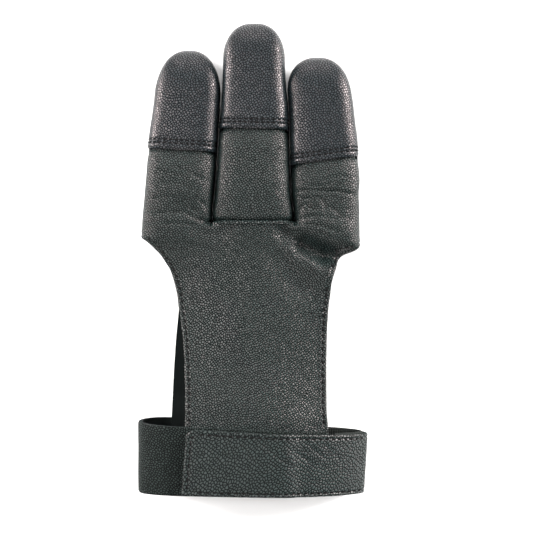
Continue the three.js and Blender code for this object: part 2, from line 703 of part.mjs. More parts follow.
// A ribbon round part of the loop: at each step, its inner and outer offset from the loop and its
// lower and upper edge. Lengths run round the loop from its right end over the front, and "lean"
// carries the lower edge further along the loop than the upper one.
function ribbon(lengths, shape) {
  const steps = lengths.length - 1;
  const corners = [];
  for (const length of lengths) {
    const { inner, outer, low, high, lean = 0 } = shape(loopAt(length), length);
    for (const [offset, y, shift] of [[inner, low, 1], [outer, low, 1], [outer, high, 0], [inner, high, 0]]) {
      const p = loopAt(length + shift * lean);
      corners.push(onBand(p.x + p.nx * offset, y, p.z + p.nz * offset));
    }
  }
  const triangles = [];
  for (let i = 0; i < steps; i += 1) {
    for (let k = 0; k < 4; k += 1) {
      const [a, b] = [4 * i + k, 4 * i + ((k + 1) % 4)];
      triangles.push(a, b, a + 4, b, b + 4, a + 4);
    }
  }
  const end = 4 * steps;
  triangles.push(0, 2, 1, 0, 3, 2, end, end + 1, end + 2, end, end + 2, end + 3);
  const geometry = new THREE.BufferGeometry();
  geometry.setAttribute("position", new THREE.Float32BufferAttribute(corners.flatMap((p) => p.toArray()), 3));
  geometry.setIndex(triangles);
  geometry.computeVertexNormals();
  return geometry;
}

// Equal steps between two lengths.
const evenly = (from, to, steps) => Array.from({ length: steps + 1 }, (_, i) => mix(from, to, i / steps));

// Where the pieces of the band end, as lengths round the loop.
const tabEndX = BAND_OFFSET + BAND_WIDTH / 2 - TAB_LENGTH;
const padRightX = tabEndX + PAD_LENGTH;
const strapFrontX = palmWrist.right - CLEARANCE;
const strapBackX = backWrist.right + ELASTIC_LAP + CLEARANCE * 2;
const elasticFrontX = strapFrontX + 2 * STRAP_LEATHER;
const elasticBackX = strapBackX - ELASTIC_LAP;
const strapStart = loopAcross(strapFrontX, 1).length;
const strapEnd = loopAcross(strapBackX, -1).length;
const elasticStart = loopAcross(elasticBackX, -1).length;
const elasticEnd = loopAcross(elasticFrontX, 1).length + loopLength;
const tabEnd = loopAcross(tabEndX, 1).length;
const padStart = loopAcross(padRightX, 1).length;

function wristStrap() {
  return ribbon(evenly(strapStart, strapEnd, 64), (p) => ({
    inner: -STRAP_LEATHER,
    outer: 0,
    low: bandLow(p.x),
    high: bandHigh(p.x),
  }));
}

// The elastic starts inside the strap's end, steps out to the surface, and goes round the right end.
function elasticWebbing() {
  const step = STRAP_LEATHER + CLEARANCE;
  return ribbon(evenly(elasticStart, elasticEnd, 34), (p, length) => {
    const past = length - strapEnd;
    const outer = -step * (1 - smooth((past - CLEARANCE) / (3 * step)));
    return { inner: outer - ELASTIC, outer, low: bandLow(p.x) + 1, high: bandHigh(p.x) - 1 };
  });
}

// The hook-and-loop pad that holds the tab on the strap.
function closurePad() {
  return ribbon(evenly(padStart, tabEnd - TAB_CORNER * 1.5, 14), (p) => ({
    inner: CLEARANCE,
    outer: CLEARANCE + PAD,
    low: bandLow(p.x) + TAB_CORNER,
    high: bandHigh(p.x) - TAB_CORNER,
  }));
}

// The closing tab: sewn round the elastic at the right end, laid over the strap, its upper free
// corner cut off.
function closingTab() {
  const lengths = [...evenly(-TAB_WRAP, tabEnd - TAB_CORNER, 44), tabEnd];
  return ribbon(lengths, (p, length) => {
    const beyondPad = smooth((padStart - length) / (PAD_LENGTH * 0.2));
    const inner = CLEARANCE + (PAD + CLEARANCE) * (1 - beyondPad);
    const toEnd = tabEnd - length;
    const across = bandShare(p.x);
    return {
      inner,
      outer: inner + TAB_LEATHER,
      low: bandLow(p.x) + TAB_RAISE * (1 - across),
      high: bandHigh(p.x) - CLEARANCE - TAB_NARROWING * across ** 2 - Math.max(TAB_CORNER - toEnd, 0),
      lean: TAB_END_SLANT * smooth(1 - toEnd / (TAB_END_SLANT * 5)),
    };
  });
}

// Finishes.
const leather = { color: 0x3d4141, roughness: 0.55, metalness: 0 };
const capLeather = { color: 0x3c3f41, roughness: 0.5, metalness: 0 };
const strapLeather = { color: 0x343837, roughness: 0.6, metalness: 0 };
const webbing = { color: 0x151716, roughness: 0.9, metalness: 0 };

const glove = new THREE.Group();
function piece(name, geometry, finish) {
  const mesh = new THREE.Mesh(geometry, new THREE.MeshStandardMaterial(finish));
  mesh.name = name;
  glove.add(mesh);
}
piece("palm_panel", palmPanel(), leather);
piece("middle_finger_front", middleFingerFront(), leather);
piece("back_panel", backPanel(), leather);
piece("ring_tip_cap", fingertipCap(ring), capLeather);
piece("middle_tip_cap", fingertipCap(middle), capLeather);
piece("index_tip_cap", fingertipCap(index), capLeather);
piece("wrist_strap", wristStrap(), strapLeather);
piece("elastic_webbing", elasticWebbing(), webbing);
piece("closure_pad", closurePad(), webbing);
piece("closing_tab", closingTab(), leather);

export default glove;
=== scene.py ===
"""A three-finger leather archery glove, lying on its back with the palm side up.

Every leather piece is a sheet: a grid of points worked out from the glove's sizes, with its creases,
hems and stitch lines pressed into it, and an inner face one leather thickness behind it. Stitches
are threads of their own. The construction is in millimetres and the meshes are in metres.
"""

import math

import bpy
import numpy as np
from bpy.props import FloatProperty, FloatVectorProperty, PointerProperty
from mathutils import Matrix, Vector
from mathutils.bvhtree import BVHTree


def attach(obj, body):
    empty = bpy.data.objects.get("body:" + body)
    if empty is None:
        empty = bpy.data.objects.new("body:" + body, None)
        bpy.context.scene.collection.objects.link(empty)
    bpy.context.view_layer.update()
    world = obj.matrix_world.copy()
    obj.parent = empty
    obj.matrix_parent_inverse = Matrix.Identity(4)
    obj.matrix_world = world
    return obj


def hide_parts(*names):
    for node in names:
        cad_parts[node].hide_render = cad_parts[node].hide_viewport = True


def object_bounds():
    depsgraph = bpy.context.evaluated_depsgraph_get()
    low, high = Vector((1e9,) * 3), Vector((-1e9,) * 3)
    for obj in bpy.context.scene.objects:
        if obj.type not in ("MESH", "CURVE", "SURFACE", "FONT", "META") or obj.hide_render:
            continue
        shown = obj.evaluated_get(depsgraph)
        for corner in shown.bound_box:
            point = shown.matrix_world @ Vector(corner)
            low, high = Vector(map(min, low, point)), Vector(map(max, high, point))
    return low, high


bl_info = {
    "name": "Archery glove",
    "version": (1, 0, 0),
    "blender": (4, 5, 0),
    "location": "View3D > Sidebar > Glove",
    "description": "Builds a three-finger leather archery glove with its stitches and its wrist band",
    "category": "Add Mesh",
}

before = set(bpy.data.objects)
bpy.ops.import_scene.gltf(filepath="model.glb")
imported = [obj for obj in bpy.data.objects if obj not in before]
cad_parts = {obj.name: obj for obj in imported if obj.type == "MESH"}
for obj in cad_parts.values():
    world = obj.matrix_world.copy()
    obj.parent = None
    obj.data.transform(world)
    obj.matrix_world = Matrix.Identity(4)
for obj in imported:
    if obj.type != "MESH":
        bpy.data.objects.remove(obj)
CAD_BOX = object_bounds()
MM = 0.001
HIDE = "place_on_hide"

# Lengths and widths, seen from the palm side.
TIP_Y = CAD_BOX[1][1] / MM
BAND_LOW_Y = CAD_BOX[0][1] / MM
MIDDLE_FINGER_LENGTH = 87.7
RING_FINGER_LENGTH = 75.7
INDEX_FINGER_LENGTH = 72.6
MIDDLE_FINGER_WIDTH = 30.8
RING_FINGER_WIDTH = 30.3
INDEX_FINGER_WIDTH = 30.1
FINGER_GAP = 0.6
PALM_WRIST_WIDTH = 62.2
PALM_WRIST_OFFSET = 1.4
BACK_WRIST_WIDTH = 56.0
BACK_WRIST_OFFSET = -9.0
FINGER_THICKNESS = 21.0
SIDE_FINGER_SHARE = 0.97
SEAM_HEIGHT = 9.0
PALM_HEIGHT = 19.6

# The wrist band.
BAND_WIDTH = 99.3
BAND_OFFSET = -1.1
BAND_DEPTH = 28.0
STRAP_WIDTH = 30.3
BAND_DROP = 1.8
BAND_NARROWING = 2.8
BAND_TAPER = 1.6
BAND_BACK_RISE = 1.2
TAB_LENGTH = 77.4
TAB_WRAP = 7.0
TAB_END_SLANT = 2.0
TAB_CORNER = 2.4
TAB_RAISE = 1.0
TAB_NARROWING = 1.5
PAD_LENGTH = 42.0
PAD_WIDTH = STRAP_WIDTH - 5.0
PAD_END_INSET = TAB_CORNER * 1.5
ELASTIC_LAP = 8.0
ELASTIC_INSET = 1.0
ELASTIC_EASE = 3.0
PANEL_INSET = 4.0
TAB_SINK_SHARE = 0.2
TAB_SLANT_RUN = 5.0
TAB_END_HEM = 3.2
TAB_CREASE_REACH = TAB_LENGTH * 1.1
FLOOR_FADE = 3.0

# Thicknesses and clearances.
STRAP_LEATHER = 1.8
TAB_LEATHER = 1.8
ELASTIC = 1.4
PAD = 1.3
CLEARANCE = 0.35
PANEL_CLEARANCE = CLEARANCE * 1.5
CAP_LAP = 7.0

# The hems of the palm panel's free edges. A hem is raised, and falls to the panel's face over a share
# of its width on each side of its inner edge. It starts below the finger base.
HEM_WIDTH = 3.4
HEM_RAISE = 0.22
HEM_FALL = 0.2
HEM_START = 4.0
HEM_REACH = 30.0

# Where the stitches lie: how far they are from the edge that they follow, and from where they start.
HEM_STITCH = 1.8
HEM_STITCH_GAP = 0.5
CAP_STITCHES = (2.7, 4.15)
TAB_STITCH = 1.7
TAB_END_STITCH = 2.2
TAB_STITCH_START = 2.0

# How the seams pucker, and how far the palm's rolled seam lies below the middle finger's base and
# passes its ends. The finger's own puckers are out of step with the palm's.
SEAM_PUCKER = 1.8
LEAST_PUCKER = 0.4
FINGER_PHASE = 1.0
SIDE_PUCKER = 2.6
SIDE_PUCKER_DEPTH = 0.35
SEAM_ROLL = 1.1
SEAM_SIDE = 0.5
SEAM_ABOVE = 0.1

# The elastic's ribs.
RIB_PITCH = 1.1
RIB_DEPTH = 0.22

# Rows of stitches: the pitch, a stitch's length as a share of it and its lean as a share of its length.
STITCHES = {
    "hem": {"pitch": 2.9, "length": 0.68, "lean": 0.18},
    "cap": {"pitch": 2.5, "length": 0.7, "lean": 0.0},
    "tab": {"pitch": 3.1, "length": 0.64, "lean": 0.0},
}

# A stitch's thread, along it and round it. Its middle stands out and its ends sink into the leather,
# by these shares of its radius, and its ends are thinner.
THREAD_STATIONS = (0.0, 0.12, 0.35, 0.65, 0.88, 1.0)
THREAD_SIDES = 7
THREAD_RISE = 1.2
THREAD_SINK = 0.7
THREAD_END = 0.55

# Marks in the leather: how far each moves the surface at its line, and how far it spreads from there.
MARKS = {
    "cut edge": {"amount": 0.35, "spread": 0.4},
    "hem stitches": {"amount": 0.35, "spread": 0.45},
    "cap edge": {"amount": 0.3, "spread": 0.35},
    "cap hem": {"amount": 0.15, "spread": 0.8},
    "cap stitches": {"amount": 0.3, "spread": 0.4},
    "tab stitches": {"amount": 0.32, "spread": 0.45},
    "side seam": {"amount": 0.3, "spread": 0.7},
    "palm seam": {"amount": 0.75, "spread": 0.5},
    "palm seam roll": {"amount": 0.55, "spread": 0.55},
    "finger seam": {"amount": 0.8, "spread": 0.7},
    "finger puckers": {"amount": 0.12, "spread": 1.6},
}

# The faint unevenness of soft leather: how high its swells are, and how wide.
SWELLS = {
    "panel": [{"height": 0.1, "size": 16}, {"height": 0.01, "size": 5}],
    "strap": [{"height": 0.1, "size": 16}],
    "tab": [{"height": 0.03, "size": 18}, {"height": 0.008, "size": 5}],
}
CAP_SWELL_SHARE = 0.6
SWELL_WAVES = 9
SWELL_SPREAD = (0.75, 1.5)
SWELL_SCALE = 3.5

# Shape numbers that have no length. The backs curve past the floor by BACK_OVERSHOOT and are flat
# there, and a finger's top reaches its own height over CROWN_SHARE of its length.
FRONT_SQUARENESS = 4.0
BACK_SQUARENESS = 3.0
BACK_OVERSHOOT = 1.06
TIP_ROUNDNESS = 2.2
TIP_FLAT_SHARE = 0.08
CROWN_SHARE = 0.2
DIMPLE_SHARE = 0.16
TAPER_TOP_SHARE = 0.85
TAPER_START_SHARE = 0.75
CORNER_SLOPE = 0.7
CAP_LINE_SHARE = 0.995
CAP_LINE_LOWEST = 0.25
CORNER_CUT = 0.8

# The least a finger's front may measure where a cap or its tip draws it in.
LEAST_HALF_WIDTH = 0.3
LEAST_RISE = 0.2
SEAM_TOLERANCE = 0.01

# Shares of the palm's length: where the free edges leave the seams, the hems end, the folds and the
# droop of the edges flatten out, and the back panel leaves its seams and lifts into the band.
FREE_AT = {"left": 0.085, "right": 0.13}
HEM_END = 1.02
FOLDS_END = 0.88
DROOP_END = 0.86
DROOP_FADE = 0.12
BACK_FREE_AT = 0.085
BACK_FREE_FADE = 0.12
BACK_LIFT_AT = 0.86
BACK_LIFT_FADE = 0.13

# How a finger's front comes out from under its cap. Its top rises over a share of the lap, its sides
# sooner, and its rows follow the slant of the cap's edge.
CAP_EASE = 1.2
CAP_EASE_POWER = 1.5
SIDE_EASE = 1.35
SIDE_SHARE = 0.32
SLANT_START = 14.0
SLANT_RUN = 11.0
CAP_SLANT_START = 6.0
CAP_SLANT_RUN = 16.0

# How finely the sheets are divided: columns across a finger, and the steps between rows.
COLUMNS = 60
BACK_COLUMNS = 30
FRONT_STEP = 0.6
BACK_STEP = 1.1
HIDDEN_STEP = 2.0
UNDER_STRAP_STEP = 2.5
CAP_EDGE_STEP = 0.35
CAP_EDGE_RUN = 2.1
CAP_STITCH_STEP = 0.3
TIP_ROWS = 30
STRAP_STEP = 0.9
ELASTIC_STEP = 0.22
ELASTIC_STEP_ACROSS = 1.2
PAD_STEP = 1.5
PAD_STEP_ACROSS = 2.0
TAB_STEP = 0.6
TAB_END_STEP = 0.3
STITCH_STEP = 1.0
BAND_EDGE_WIDTH = 3.2
BAND_EDGE_STEP = 0.32
HEM_STEP = 0.005
SECTION_SAMPLES = 4000
END_SAMPLES = 30

# Points weld where they fall in the same cell of a grid of this many cells a millimetre. The offset
# keeps round sizes off the cells' borders. Anything below TINY counts as nothing.
WELD_CELLS = 1e3
WELD_OFFSET = 0.3
TINY = 1e-9
SHARP_DEGREES = 50

# The higher this is, the sharper the line where one fold passes into the next.
FOLD_BLEND = 4

# How a fine crease fades: it starts this share of the way into its curve of depth, raised to the power.
CREASE_START = 0.08
CREASE_POWER = 0.7

MIDDLE_EDGES = [
    {"at": 0, "left": -0.592, "right": 0.572},
    {"at": 0.08, "left": -0.575, "right": 0.552},
    {"at": 0.155, "left": -0.548, "right": 0.525},
    {"at": 0.31, "left": -0.512, "right": 0.508},
    {"at": 0.46, "left": -0.497, "right": 0.503},
    {"at": 0.56, "left": -0.474, "right": 0.495},
    {"at": 0.71, "left": -0.451, "right": 0.458},
    {"at": 0.81, "left": -0.442, "right": 0.448},
    {"at": 1, "left": -0.436, "right": 0.44},
]
RING_WIDTHS = [
    {"at": 0, "width": 1.01, "gap": 1},
    {"at": 0.12, "width": 1, "gap": 1.3},
    {"at": 0.25, "width": 1, "gap": 1.6},
    {"at": 0.42, "width": 1.003, "gap": 1.3},
    {"at": 0.58, "width": 0.983, "gap": 0.9},
    {"at": 0.72, "width": 0.96, "gap": 1.1},
    {"at": 1, "width": 0.895, "gap": 2.6},
]
INDEX_WIDTHS = [
    {"at": 0, "width": 0.949, "gap": 0.9},
    {"at": 0.12, "width": 0.966, "gap": 1.1},
    {"at": 0.25, "width": 0.997, "gap": 1.3},
    {"at": 0.4, "width": 0.997, "gap": 1},
    {"at": 0.6, "width": 0.965, "gap": 0.6},
    {"at": 0.76, "width": 0.942, "gap": 0.6},
    {"at": 1, "width": 0.905, "gap": 1.2},
]

# The palm panel's edges from the finger base (0) to the strap (1): 0 is the width across the
# fingers, 1 the width at the wrist.
PALM_EDGES = [
    {"at": 0, "left": 0, "right": 0},
    {"at": 0.085, "left": -0.015, "right": -0.005},
    {"at": 0.105, "left": 0.1, "right": -0.008},
    {"at": 0.13, "left": 0.235, "right": -0.01},
    {"at": 0.145, "left": 0.3, "right": 0.065},
    {"at": 0.16, "left": 0.374, "right": 0.26},
    {"at": 0.176, "left": 0.43, "right": 0.53},
    {"at": 0.203, "left": 0.51, "right": 0.67},
    {"at": 0.24, "left": 0.62, "right": 0.734},
    {"at": 0.28, "left": 0.69, "right": 0.827},
    {"at": 0.32, "left": 0.745, "right": 0.89},
    {"at": 0.365, "left": 0.795, "right": 0.92},
    {"at": 0.425, "left": 0.83, "right": 0.97},
    {"at": 0.5, "left": 0.884, "right": 1.005},
    {"at": 0.6, "left": 0.94, "right": 1.03},
    {"at": 0.75, "left": 0.98, "right": 1.04},
    {"at": 0.93, "left": 0.998, "right": 1.035},
    {"at": 1, "left": 1, "right": 1},
]
BACK_EDGES = [
    {"at": 0, "left": 0, "right": 0},
    {"at": 0.085, "left": 0.02, "right": 0.01},
    {"at": 0.13, "left": 0.44, "right": 0.03},
    {"at": 0.176, "left": 0.78, "right": 0.3},
    {"at": 0.24, "left": 1.1, "right": 0.5},
    {"at": 0.32, "left": 1.28, "right": 0.68},
    {"at": 0.425, "left": 1.26, "right": 0.82},
    {"at": 0.6, "left": 1.15, "right": 0.94},
    {"at": 0.8, "left": 1.06, "right": 0.99},
    {"at": 1, "left": 1, "right": 1},
]

# The palm panel's height along its middle: 0 is PALM_HEIGHT, 1 the inside of the band. The droop
# of its free edges is a share of PALM_HEIGHT, and "free" says how far each edge has left the seam.
PALM_HEIGHTS = [
    {"at": 0, "rise": 0, "droop": 0.03, "freeLeft": 0, "freeRight": 0},
    {"at": 0.085, "rise": -0.15, "droop": 0.05, "freeLeft": 0, "freeRight": 0},
    {"at": 0.13, "rise": -0.25, "droop": 0.07, "freeLeft": 0.35, "freeRight": 0.1},
    {"at": 0.176, "rise": -0.3, "droop": 0.09, "freeLeft": 0.65, "freeRight": 0.6},
    {"at": 0.24, "rise": -0.3, "droop": 0.12, "freeLeft": 0.9, "freeRight": 0.9},
    {"at": 0.32, "rise": -0.25, "droop": 0.14, "freeLeft": 1, "freeRight": 1},
    {"at": 0.5, "rise": 0, "droop": 0.14, "freeLeft": 1, "freeRight": 1},
    {"at": 0.7, "rise": 0.3, "droop": 0.11, "freeLeft": 1, "freeRight": 1},
    {"at": 0.86, "rise": 0.68, "droop": 0.06, "freeLeft": 1, "freeRight": 1},
    {"at": 1, "rise": 1, "droop": 0.03, "freeLeft": 1, "freeRight": 1},
]

# Folds of the palm panel. x is a share of the width across the fingers from their middle, y a share
# of the palm's length down from the finger base, width and rise shares of FINGER_THICKNESS.
FOLDS = [
    {"x1": 0.15, "y1": 0.06, "x2": 0.235, "y2": 0.122, "width": 0.2, "rise": -0.16},
    {"x1": 0.235, "y1": 0.122, "x2": 0.335, "y2": 0.17, "width": 0.2, "rise": -0.27},
    {"x1": 0.335, "y1": 0.17, "x2": 0.43, "y2": 0.178, "width": 0.2, "rise": -0.27},
    {"x1": 0.2, "y1": 0.145, "x2": 0.36, "y2": 0.27, "width": 0.3, "rise": 0.055},
    {"x1": 0.115, "y1": 0.05, "x2": 0.15, "y2": 0.2, "width": 0.3, "rise": -0.05},
    {"x1": 0.15, "y1": 0.2, "x2": 0.23, "y2": 0.33, "width": 0.3, "rise": -0.05},
    {"x1": 0.33, "y1": 0.02, "x2": 0.42, "y2": 0.04, "width": 0.36, "rise": 0.06},
    {"x1": 0.21, "y1": -0.142, "x2": 0.46, "y2": -0.132, "width": 0.14, "rise": -0.05},
    {"x1": -0.3, "y1": -0.09, "x2": -0.27, "y2": -0.06, "width": 0.24, "rise": -0.07},
    {"x1": -0.22, "y1": 0.045, "x2": -0.14, "y2": 0.055, "width": 0.26, "rise": -0.07},
    {"x1": -0.32, "y1": 0.68, "x2": -0.08, "y2": 1, "width": 0.55, "rise": 0.02},
]

# Fine creases of the same panel: depth is a share of the leather's thickness, width one of
# FINGER_THICKNESS, and bow how far the crease's middle leaves its straight line, as a share of its
# length.
CREASES = [
    {"x1": 0.2, "y1": -0.142, "x2": 0.475, "y2": -0.128, "bow": 0.04, "width": 0.035, "depth": 0.75},
    {"x1": 0.33, "y1": -0.2, "x2": 0.47, "y2": -0.215, "bow": 0.06, "width": 0.03, "depth": 0.42},
    {"x1": 0.25, "y1": -0.175, "x2": 0.36, "y2": -0.18, "bow": -0.08, "width": 0.035, "depth": 0.36},
    {"x1": 0.21, "y1": 0, "x2": 0.36, "y2": -0.012, "bow": 0.1, "width": 0.035, "depth": 0.6},
    {"x1": 0.21, "y1": -0.02, "x2": 0.27, "y2": -0.09, "bow": 0.15, "width": 0.03, "depth": 0.6},
    {"x1": 0.25, "y1": -0.1, "x2": 0.31, "y2": -0.05, "bow": -0.2, "width": 0.03, "depth": 0.68},
    {"x1": 0.31, "y1": -0.11, "x2": 0.34, "y2": -0.04, "bow": 0.2, "width": 0.03, "depth": 0.6},
    {"x1": 0.33, "y1": -0.07, "x2": 0.42, "y2": -0.02, "bow": 0.1, "width": 0.03, "depth": 0.52},
    {"x1": 0.22, "y1": -0.115, "x2": 0.3, "y2": -0.12, "bow": -0.1, "width": 0.03, "depth": 0.52},
    {"x1": 0.2, "y1": -0.06, "x2": 0.25, "y2": -0.045, "bow": 0.1, "width": 0.03, "depth": 0.21},
    {"x1": 0.35, "y1": 0.005, "x2": 0.46, "y2": -0.01, "bow": 0.05, "width": 0.03, "depth": 0.3},
    {"x1": 0.22, "y1": 0.015, "x2": 0.4, "y2": 0.06, "bow": 0.05, "width": 0.035, "depth": 0.52},
    {"x1": 0.23, "y1": 0.03, "x2": 0.36, "y2": 0.085, "bow": 0.04, "width": 0.03, "depth": 0.38},
    {"x1": 0.15, "y1": 0.062, "x2": 0.24, "y2": 0.125, "bow": 0.03, "width": 0.045, "depth": 0.27},
    {"x1": 0.23, "y1": 0.12, "x2": 0.34, "y2": 0.172, "bow": 0.03, "width": 0.045, "depth": 0.27},
    {"x1": -0.43, "y1": -0.03, "x2": -0.29, "y2": -0.04, "bow": 0.03, "width": 0.035, "depth": 0.48},
    {"x1": -0.29, "y1": -0.04, "x2": -0.175, "y2": 0.01, "bow": -0.08, "width": 0.035, "depth": 0.75},
    {"x1": -0.28, "y1": -0.06, "x2": -0.22, "y2": -0.02, "bow": 0.1, "width": 0.03, "depth": 0.45},
    {"x1": -0.46, "y1": -0.105, "x2": -0.33, "y2": -0.115, "bow": 0.04, "width": 0.035, "depth": 0.33},
    {"x1": -0.25, "y1": -0.105, "x2": -0.2, "y2": -0.06, "bow": 0.1, "width": 0.03, "depth": 0.38},
    {"x1": -0.38, "y1": -0.27, "x2": -0.2, "y2": -0.19, "bow": 0.06, "width": 0.04, "depth": 0.39},
    {"x1": -0.42, "y1": -0.24, "x2": -0.28, "y2": -0.2, "bow": 0.05, "width": 0.035, "depth": 0.3},
    {"x1": -0.44, "y1": -0.19, "x2": -0.24, "y2": -0.15, "bow": 0.05, "width": 0.04, "depth": 0.3},
    {"x1": -0.3, "y1": -0.25, "x2": -0.2, "y2": -0.2, "bow": -0.06, "width": 0.035, "depth": 0.36},
    {"x1": -0.4, "y1": 0.02, "x2": -0.24, "y2": 0.03, "bow": 0.06, "width": 0.04, "depth": 0.3},
    {"x1": -0.3, "y1": 0.12, "x2": -0.12, "y2": 0.18, "bow": 0.05, "width": 0.05, "depth": 0.21},
    {"x1": 0.14, "y1": 0.08, "x2": 0.2, "y2": 0.26, "bow": -0.04, "width": 0.05, "depth": 0.36},
    {"x1": 0.2, "y1": 0.16, "x2": 0.29, "y2": 0.28, "bow": 0.04, "width": 0.04, "depth": 0.36},
    {"x1": 0.24, "y1": 0.3, "x2": 0.3, "y2": 0.42, "bow": 0.05, "width": 0.05, "depth": 0.24},
    {"x1": 0.1, "y1": 0.55, "x2": 0.2, "y2": 0.68, "bow": 0.05, "width": 0.05, "depth": 0.07},
    {"x1": 0.2, "y1": 0.7, "x2": 0.3, "y2": 0.85, "bow": -0.04, "width": 0.04, "depth": 0.08},
    {"x1": 0.14, "y1": 0.82, "x2": 0.29, "y2": 0.93, "bow": 0.05, "width": 0.04, "depth": 0.09},
    {"x1": -0.28, "y1": 0.93, "x2": -0.08, "y2": 1.02, "bow": 0.04, "width": 0.06, "depth": 0.17},
    {"x1": -0.26, "y1": 0.87, "x2": -0.16, "y2": 0.93, "bow": 0.05, "width": 0.04, "depth": 0.09},
]

# Fine creases of the closing tab: x runs from its free end (0) round to the right, y up its width.
TAB_CREASES = [
    {"x1": 0.16, "y1": 0.92, "x2": 0.3, "y2": 0.5, "bow": 0.05, "width": 0.03, "depth": 0.1},
    {"x1": 0.24, "y1": 0.95, "x2": 0.4, "y2": 0.42, "bow": 0.04, "width": 0.03, "depth": 0.12},
    {"x1": 0.3, "y1": 0.93, "x2": 0.42, "y2": 0.6, "bow": -0.05, "width": 0.03, "depth": 0.14},
    {"x1": 0.36, "y1": 0.94, "x2": 0.52, "y2": 0.5, "bow": 0.05, "width": 0.03, "depth": 0.15},
    {"x1": 0.44, "y1": 0.95, "x2": 0.56, "y2": 0.62, "bow": -0.04, "width": 0.03, "depth": 0.13},
    {"x1": 0.5, "y1": 0.9, "x2": 0.66, "y2": 0.5, "bow": 0.05, "width": 0.03, "depth": 0.12},
    {"x1": 0.58, "y1": 0.95, "x2": 0.72, "y2": 0.6, "bow": 0.03, "width": 0.03, "depth": 0.11},
    {"x1": 0.68, "y1": 0.9, "x2": 0.8, "y2": 0.55, "bow": -0.05, "width": 0.03, "depth": 0.1},
]

# The band's closed curve seen along the hand: x is a share of BAND_WIDTH, z one of BAND_DEPTH.
LOOP = [
    {"x": 0.5, "z": 0.29},
    {"x": 0.468, "z": 0.44},
    {"x": 0.385, "z": 0.64},
    {"x": 0.26, "z": 0.83},
    {"x": 0.12, "z": 0.955},
    {"x": -0.04, "z": 1},
    {"x": -0.24, "z": 1},
    {"x": -0.39, "z": 0.96},
    {"x": -0.476, "z": 0.8},
    {"x": -0.5, "z": 0.55},
    {"x": -0.472, "z": 0.22},
    {"x": -0.41, "z": 0.045},
    {"x": -0.32, "z": 0},
    {"x": -0.16, "z": 0},
    {"x": 0, "z": 0},
    {"x": 0.16, "z": 0},
    {"x": 0.32, "z": 0},
    {"x": 0.42, "z": 0.035},
    {"x": 0.482, "z": 0.135},
]
LOOP_SAMPLES = 1900
LOOP_FACING = 0.02

BASE_Y = TIP_Y - MIDDLE_FINGER_LENGTH
STRAP_TOP_Y = BAND_LOW_Y + BAND_DROP + STRAP_WIDTH
PALM_LENGTH = BASE_Y - STRAP_TOP_Y
FRONT_SEAM_Z = SEAM_HEIGHT + CLEARANCE / 2
BACK_SEAM_Z = SEAM_HEIGHT - CLEARANCE / 2

# The camera looks straight down, as in the photograph.
FRAME_WIDTH = 234.5
CAMERA_HEIGHT = 630.0
FOCUS_HEIGHT = 15.0
CAMERA_X = 5.6
CAMERA_Y = -3.7
SENSOR_WIDTH = 36.0


def mix(a, b, share):
    return a + (b - a) * share


def smooth(share):
    s = np.clip(share, 0, 1)
    return s * s * (3 - 2 * s)


def curve(rows, name, at):
    """A table's named column at the stations "at", on a curve that never overshoots its rows."""
    x = np.array([row["at"] for row in rows], float)
    y = np.array([row[name] for row in rows], float)
    steep = np.diff(y) / np.diff(x)
    before, after = steep[:-1], steep[1:]
    both = before * after > 0
    total = np.where(both, before + after, 1)
    inside = np.where(both, 2 * before * after / total, 0)
    slope = np.concatenate(([steep[0]], inside, [steep[-1]]))
    at = np.clip(at, x[0], x[-1])
    k = np.clip(np.searchsorted(x, at, side="right") - 1, 0, len(x) - 2)
    span = x[k + 1] - x[k]
    t = (at - x[k]) / span
    start = (1 + 2 * t) * (1 - t) ** 2 * y[k] + t * (1 - t) ** 2 * span * slope[k]
    return start + t * t * (3 - 2 * t) * y[k + 1] - t * t * (1 - t) * span * slope[k + 1]


def bell(away, width):
    """1 where "away" is 0, fading on both sides to about a third at the width."""
    return np.exp(-((away / width) ** 2))


def mark(name, away):
    """How far a mark moves the surface at a distance from its line."""
    return MARKS[name]["amount"] * bell(away, MARKS[name]["spread"])


def waves(at, pitch, phase=0.0):
    """Waves between 0 and 1 along a line."""
    return 0.5 + 0.5 * np.sin(at * 2 * math.pi / pitch + phase)


def wander(x, y, size, seed):
    """A smooth random field between about -1 and 1, whose swells are "size" millimetres across."""
    chance = np.random.default_rng(seed)
    total = np.zeros(np.broadcast(x, y).shape)
    for _ in range(SWELL_WAVES):
        angle, phase = chance.uniform(0, 2 * math.pi, 2)
        turn = 2 * math.pi / (size * chance.uniform(*SWELL_SPREAD))
        total += np.sin((x * math.cos(angle) + y * math.sin(angle)) * turn + phase)
    return total / SWELL_SCALE


def soft_swell(kind, x, y, seed):
    """The faint unevenness of soft leather, each of its swells with a seed of its own."""
    total = 0
    for number, row in enumerate(SWELLS[kind]):
        total = total + row["height"] * wander(x, y, row["size"], seed + number)
    return total


class Finger:
    """One finger's sizes and its two edges, which for the outer fingers follow the middle one's."""

    def __init__(self, node, edges, length, height, tip_length, cap_length, cap_slope):
        self.node = node
        self.length = length
        self.tip_length = tip_length
        self.cap_slope = cap_slope
        self.height = height
        self.edges = edges
        self.tip_y = BASE_Y + length
        self.cap_y = self.tip_y - cap_length

    def edges_at(self, y):
        return self.edges(np.clip((y - BASE_Y) / self.length, 0, 1))

    def cap_edge(self, x):
        """Where the cap's lower edge crosses the finger at x."""
        left, right = self.edges_at(self.cap_y)
        return self.cap_y + self.cap_slope * (x - (left + right) / 2)


def middle_edges(at):
    left = curve(MIDDLE_EDGES, "left", at) * MIDDLE_FINGER_WIDTH
    return left, curve(MIDDLE_EDGES, "right", at) * MIDDLE_FINGER_WIDTH


def ring_edges(at):
    beside = middle_edges(at * RING_FINGER_LENGTH / MIDDLE_FINGER_LENGTH)[0]
    right = beside - curve(RING_WIDTHS, "gap", at) * FINGER_GAP
    return right - curve(RING_WIDTHS, "width", at) * RING_FINGER_WIDTH, right


